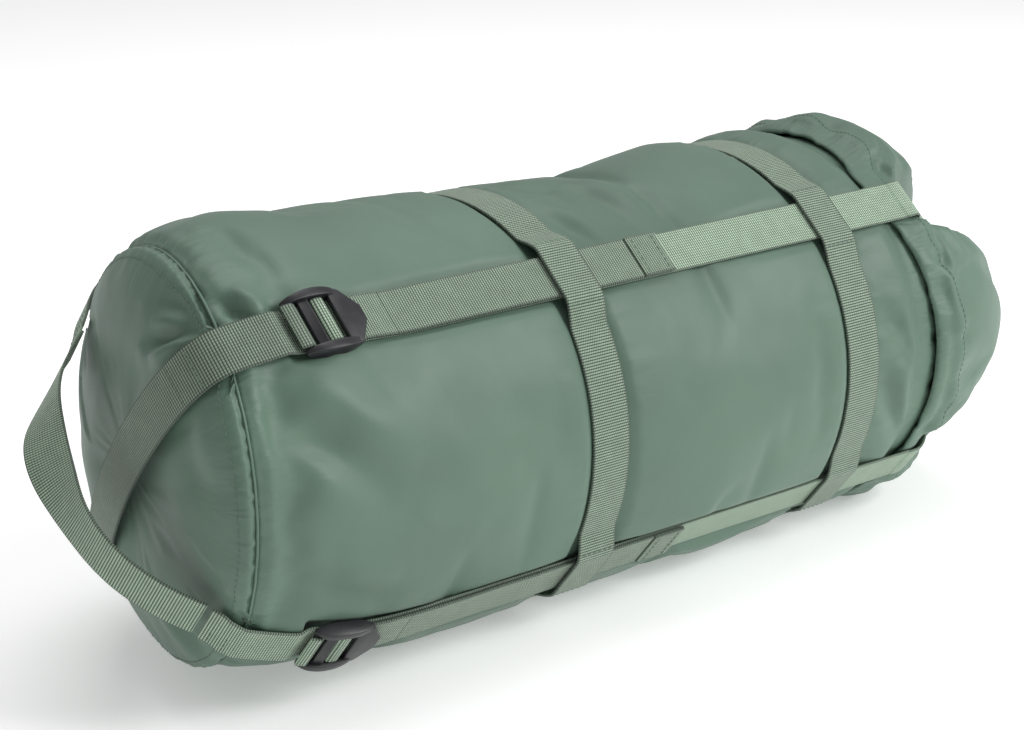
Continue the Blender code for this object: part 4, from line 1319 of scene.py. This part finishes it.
class SACK_OT_straps(bpy.types.Operator):
    """Side straps from each buckle to the lid, their tails and the folded hems of the tails"""

    bl_idname = "sack.straps"
    bl_label = "Side straps"

    def execute(self, context):
        low, high = ROLL_BAR
        under = GAP + WEB / 2
        over = under + WEB + GAP
        middle = BAND_X[0]
        end = LID_RIM_X - 0.002
        for index, (name, angle) in enumerate(STRAPS.items()):
            first = buckle_point(angle, low - GAP - WEB, UNDER)
            second = buckle_point(angle, TAB_TIP, UNDER - 0.0005)
            flat = max(TAIL_FLAT, second.x + 0.004)
            near = [first, second] + side_line(flat, middle, under)
            near_piece = plane_strip("strap_near_" + name, near, angle)
            dress(near_piece, "polyester_webbing", "webbing", None, "strap_" + name)
            far = side_line(middle, end, under, 10)
            far_piece = plane_strip("strap_far_" + name, far, angle, start=0.17)
            dress(far_piece, "polyester_webbing_painted_light", "webbing", None)
            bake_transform(near_piece)
            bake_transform(far_piece)

            first = buckle_point(angle, high + GAP, UNDER + WEB + GAP)
            second = buckle_point(angle, TAB_TIP, UNDER + WEB + GAP)
            whole = flowing([first, second] + side_line(flat, HEM_X[0] - GAP, over), WEB_STEP)
            cut = int(np.argmin(np.abs(whole[:, 0] - TAIL_SPLIT)))
            direction = across_of(angle)
            centres = world_line(whole, angle)

            def curl(travel, u, seed=index):
                near_band = np.exp(-(((travel - 0.118) / 0.012) ** 2))
                bent = travel + 0.5 * np.abs(u + 0.004)
                fold = 0.0005 * near_band * np.cos(bent * 2 * math.pi / 0.010 + seed)
                lift = 0.0006 * np.exp(-(((travel - 0.07) / 0.03) ** 2)) * (u / HALF_WEB)
                return np.abs(fold) + np.maximum(lift, 0.0)

            stub = strip("tail_start_" + name, centres[: cut + 1], direction, ripple=curl)
            dress(stub, "polyester_webbing_bands_painted_shade", "webbing", None, "tail_" + name)
            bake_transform(stub)
            passed = float(np.linalg.norm(np.diff(centres[: cut + 1], axis=0), axis=1).sum())
            tail = strip("tail_run_" + name, centres[cut:], direction, ripple=curl, start=passed)
            dress(tail, "polyester_webbing_bands_painted_shade", "webbing", "root")
            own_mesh(tail)

            rest = SACK_RADIUS + GAP + WEB + GAP + HEM_THICKNESS / 2
            line = [Vector((HEM_X[0], rest)), Vector((HEM_X[0] + 0.011, rest)), Vector((HEM_X[1], rest))]
            hem = plane_strip("tail_fold_" + name, line, angle, thickness=HEM_THICKNESS, start=0.19)
            dress(hem, "polyester_webbing_bands_painted_shade", "webbing", "tail_hem_" + name, "tail_hem_" + name)
            tree = surface_tree(hem)
            rows = []
            for x in (HEM_X[0] + 0.004, HEM_X[1] - 0.004):
                spots = [on_wall(tree, x, angle + shift / SACK_RADIUS) for shift in STITCH_SHIFTS]
                rows.append(stitch_row("row", spots))
            dress(joined("tail_stitches_" + name, rows), "polyester_thread", "webbing", "tail_hem_" + name)
        return {"FINISHED"}


def bar_loop(angle):
    """Webbing from the fabric round a buckle's rear bar and back on top of itself."""
    off = BAR_RADIUS + GAP + WEB / 2
    local = [Vector((-0.011, UNDER + 0.0022)), Vector((-0.005, -off))]
    local += arc(Vector((0.0, 0.0)), off, -90, 90, 6)
    local += [Vector((-0.005, off - 0.0012)), Vector((-0.011, UNDER + 0.0022 + WEB + GAP))]
    return [buckle_point(angle, point.x, point.y) for point in local]


def over_seam(angle):
    """The point where webbing that leaves a bar loop passes over the seam."""
    return wall_point(SEAM_X, angle) + Vector((-0.0035, BINDING + GAP + WEB / 2))


def handle_shift(reach):
    """How far the handle's webbing lies to the side of its strap's line, at a distance from the axis."""
    return HANDLE_SKEW * smooth((0.116 - reach) / 0.024) * smooth((reach + 0.088) / 0.12)


def skewed(centres, angle):
    """The centres moved off their strap's line, and kept at their height over the base."""
    across = np.array(across_of(angle))
    reach = -centres[:, 1] * math.cos(angle) + (centres[:, 2] - AXIS_Z) * math.sin(angle)
    moved = centres + across * handle_shift(reach)[:, None]
    moved[:, 0] += base_x(moved[:, 1], moved[:, 2]) - base_x(centres[:, 1], centres[:, 2])
    return moved


def handle_ends():
    """(along, out) of the two ends of the handle's loop."""
    over = lifted(base_points(STRAPS["front_lower"], 60), -HANDLE_LIFT)
    start = min(over, key=lambda point: abs(point.y - HANDLE_LEAVES))
    end = min(over, key=lambda point: abs(point.y + HANDLE_LEAVES))
    return start, end


def cross_stitches(name, strip_obj, angle, reaches, carrier):
    """Rows of stitches across webbing that lies over the base, at distances from the axis."""
    tree = surface_tree(strip_obj)
    across = Vector(across_of(angle))
    rows = []
    for reach in reaches:
        middle = world_point(Vector((0.0, reach)), angle)
        spots = []
        for shift in STITCH_SHIFTS:
            spots.append(on_base(tree, middle.y + across.y * shift, middle.z + across.z * shift))
        if len([spot for spot in spots if spot]) > 4:
            rows.append(stitch_row("row", spots))
    if rows:
        dress(joined(name, rows), "polyester_thread", "webbing", carrier)


class SACK_OT_base_webbing(bpy.types.Operator):
    """Strap across the base and the sewn ends that hold the other two buckles"""

    bl_idname = "sack.base_webbing"
    bl_label = "Base webbing"

    def execute(self, context):
        angle = STRAPS["front_upper"]
        over = lifted(base_points(angle, 26), -GAP - WEB / 2 - BINDING)[2:-2]
        opposite = STRAPS["rear_lower"]
        line = bar_loop(angle)[::-1][1:] + [over_seam(angle)] + over
        line += mirrored([over_seam(opposite)] + bar_loop(opposite)[:-1])
        strap = plane_strip("base_webbing", line, angle)
        dress(strap, "polyester_webbing_base_painted_shade", "webbing", "root", "base_strap")
        cross_stitches("base_webbing_stitches", strap, angle, (0.106, 0.092, -0.092), "root")
        angle = STRAPS["front_lower"]
        over = lifted(base_points(angle, 28), -GAP - WEB / 2 - BINDING)
        near = [point for point in over[2:] if point.y > HANDLE_LEAVES + 0.004]
        far = [point for point in over[:-2] if point.y < -HANDLE_LEAVES - 0.004]
        start, end = handle_ends()
        near.append(start + Vector((0.0012, HANDLE_GAP)))
        far.insert(0, end + Vector((0.0012, -HANDLE_GAP)))
        near = flowing(bar_loop(angle)[::-1][1:] + [over_seam(angle)] + near, WEB_STEP)
        front = strip("handle_tab_front", skewed(world_line(near, angle), angle), across_of(angle))
        dress(front, "polyester_webbing", "webbing", "root", "handle_end_front")
        opposite = STRAPS["rear_upper"]
        rear_line = far + mirrored([over_seam(opposite)] + bar_loop(opposite)[:-1])
        rear = plane_strip("handle_tab_rear", rear_line, angle)
        dress(rear, "polyester_webbing", "webbing", "root", "handle_end_rear")
        cross_stitches("handle_tab_stitches_front", front, angle, (0.1, 0.094), "root")
        cross_stitches("handle_tab_stitches_rear", rear, angle, (-0.1, -0.094), "root")
        return {"FINISHED"}


class SACK_OT_handle(bpy.types.Operator):
    """Carry handle: a loop of webbing that bows out of the base and twists"""

    bl_idname = "sack.handle"
    bl_label = "Carry handle"

    def execute(self, context):
        angle = STRAPS["front_lower"]
        start, end = handle_ends()
        loop = []
        for step in range(31):
            part = step / 30
            chord = start.lerp(end, part)
            bow = (start.x + end.x) / 2 - HANDLE_REACH - WEB / 2 - 0.0002
            loop.append(chord - Vector((bow * (1.0 - abs(2.0 * part - 1.0) ** 2.4), 0.0)))
        centres = skewed(world_line(flowing(loop, WEB_STEP), angle), angle)
        tangent = np.gradient(centres, axis=0)
        tangent /= np.linalg.norm(tangent, axis=1)[:, None]
        across = np.array(across_of(angle))
        out = np.cross(tangent, across)
        part = np.linspace(0.0, 1.0, len(centres))
        twist = math.radians(46) * np.exp(-(((part - 0.62) / 0.17) ** 2)) * np.sin(math.pi * part)
        turned = across * np.cos(twist)[:, None] + out * np.sin(twist)[:, None]
        handle = strip("carry_loop", centres, turned)
        dress(handle, "polyester_webbing", "webbing", "handle", "carry_handle")
        return {"FINISHED"}


class SACK_OT_stage(bpy.types.Operator):
    """Pale floor, soft studio light and the camera"""

    bl_idname = "sack.stage"
    bl_label = "Stage"

    def execute(self, context):
        bpy.ops.object.select_all(action="DESELECT")
        bpy.ops.mesh.primitive_plane_add(size=14.0, location=(0.0, 0.0, -0.0005))
        floor = context.active_object
        floor.name = "studio_floor"
        material, tree, shader = blank_material("matt_paper")
        place = add(tree, "TexCoord").outputs["Object"]
        grain = add(tree, "TexNoise", {"Vector": place, "Scale": 3.0}).outputs["Fac"]
        tint = add(tree, "Mix", {0: grain, 6: linear("#f7f7f7"), 7: linear("#fbfbfb")}, data_type="RGBA")
        tree.links.new(tint.outputs[2], shader.inputs["Base Color"])
        shader.inputs["Roughness"].default_value = 0.9
        shader.inputs["Emission Color"].default_value = linear("#ffffff")
        shader.inputs["Emission Strength"].default_value = 0.30
        floor.data.materials.append(material)
        for name, spot, aim, energy, width in (
            ("key_light", (1.3, -1.8, 1.6), (0.0, 0.0, 0.1), 48.0, 1.3),
            ("top_light", (0.3, 0.4, 2.2), (0.0, 0.0, 0.1), 23.0, 1.6),
        ):
            light = bpy.data.lights.new(name, "AREA")
            light.energy = energy
            light.size = width
            lamp = bpy.data.objects.new(name, light)
            lamp.location = spot
            lamp.rotation_euler = (Vector(aim) - Vector(spot)).to_track_quat("-Z", "Y").to_euler()
            context.scene.collection.objects.link(lamp)
        world = bpy.data.worlds.new("studio")
        world.use_nodes = True
        world.node_tree.nodes["Background"].inputs[0].default_value = linear("#ffffff")
        world.node_tree.nodes["Background"].inputs[1].default_value = 0.38
        context.scene.world = world
        context.scene.view_settings.view_transform = "Standard"
        lens = bpy.data.cameras.new("camera")
        lens.lens = 85.62
        lens.sensor_width = 36.0
        camera = bpy.data.objects.new("camera", lens)
        camera.location = (-0.8794, -0.9957, 0.5268)
        camera.rotation_euler = (math.radians(72.78), 0.0, math.radians(-40.28))
        context.scene.collection.objects.link(camera)
        context.scene.camera = camera
        return {"FINISHED"}


class SACK_OT_materials(bpy.types.Operator):
    """Every finish that the pieces use"""

    bl_idname = "sack.materials"
    bl_label = "Materials"

    def execute(self, context):
        coated_nylon()
        polyester_webbing("polyester_webbing", 1.0, 0)
        # Painted light and shade: one webbing in copies, lightened for the far straps and lid webs, and
        # darkened for the bands, tails, hems and base strap.
        polyester_webbing("polyester_webbing_painted_light", 1.2, 0)
        polyester_webbing("polyester_webbing_bands_painted_shade", 0.76, 1)
        polyester_webbing("polyester_webbing_base_painted_shade", 0.60, 0)
        moulded_acetal()
        polyester_thread()
        plated_brass()
        return {"FINISHED"}


OPERATORS = [
    SACK_OT_materials,
    SACK_OT_fabric,
    SACK_OT_seam,
    SACK_OT_collar,
    SACK_OT_lid,
    SACK_OT_lid_webs,
    SACK_OT_bands,
    SACK_OT_buckles,
    SACK_OT_straps,
    SACK_OT_base_webbing,
    SACK_OT_handle,
    SACK_OT_stage,
]


class SACK_PT_panel(bpy.types.Panel):
    bl_idname = "SACK_PT_panel"
    bl_label = "Compression sack"
    bl_space_type = "VIEW_3D"
    bl_region_type = "UI"
    bl_category = "Sack"

    def draw(self, context):
        for group in (context.scene.sack_sizes, context.scene.sack_colours):
            for name in group.__annotations__:
                self.layout.prop(group, name)
        for operator in OPERATORS:
            self.layout.operator(operator.bl_idname)


CLASSES = [SackSizes, SackColours, *OPERATORS, SACK_PT_panel]


def register():
    for each in CLASSES:
        bpy.utils.register_class(each)
    bpy.types.Scene.sack_sizes = bpy.props.PointerProperty(type=SackSizes)
    bpy.types.Scene.sack_colours = bpy.props.PointerProperty(type=SackColours)


def unregister():
    del bpy.types.Scene.sack_colours
    del bpy.types.Scene.sack_sizes
    for each in reversed(CLASSES):
        bpy.utils.unregister_class(each)


def main():
    register()
    for operator in OPERATORS:
        getattr(bpy.ops.sack, operator.bl_idname.split(".")[1])()


if __name__ == "__main__":
    main()
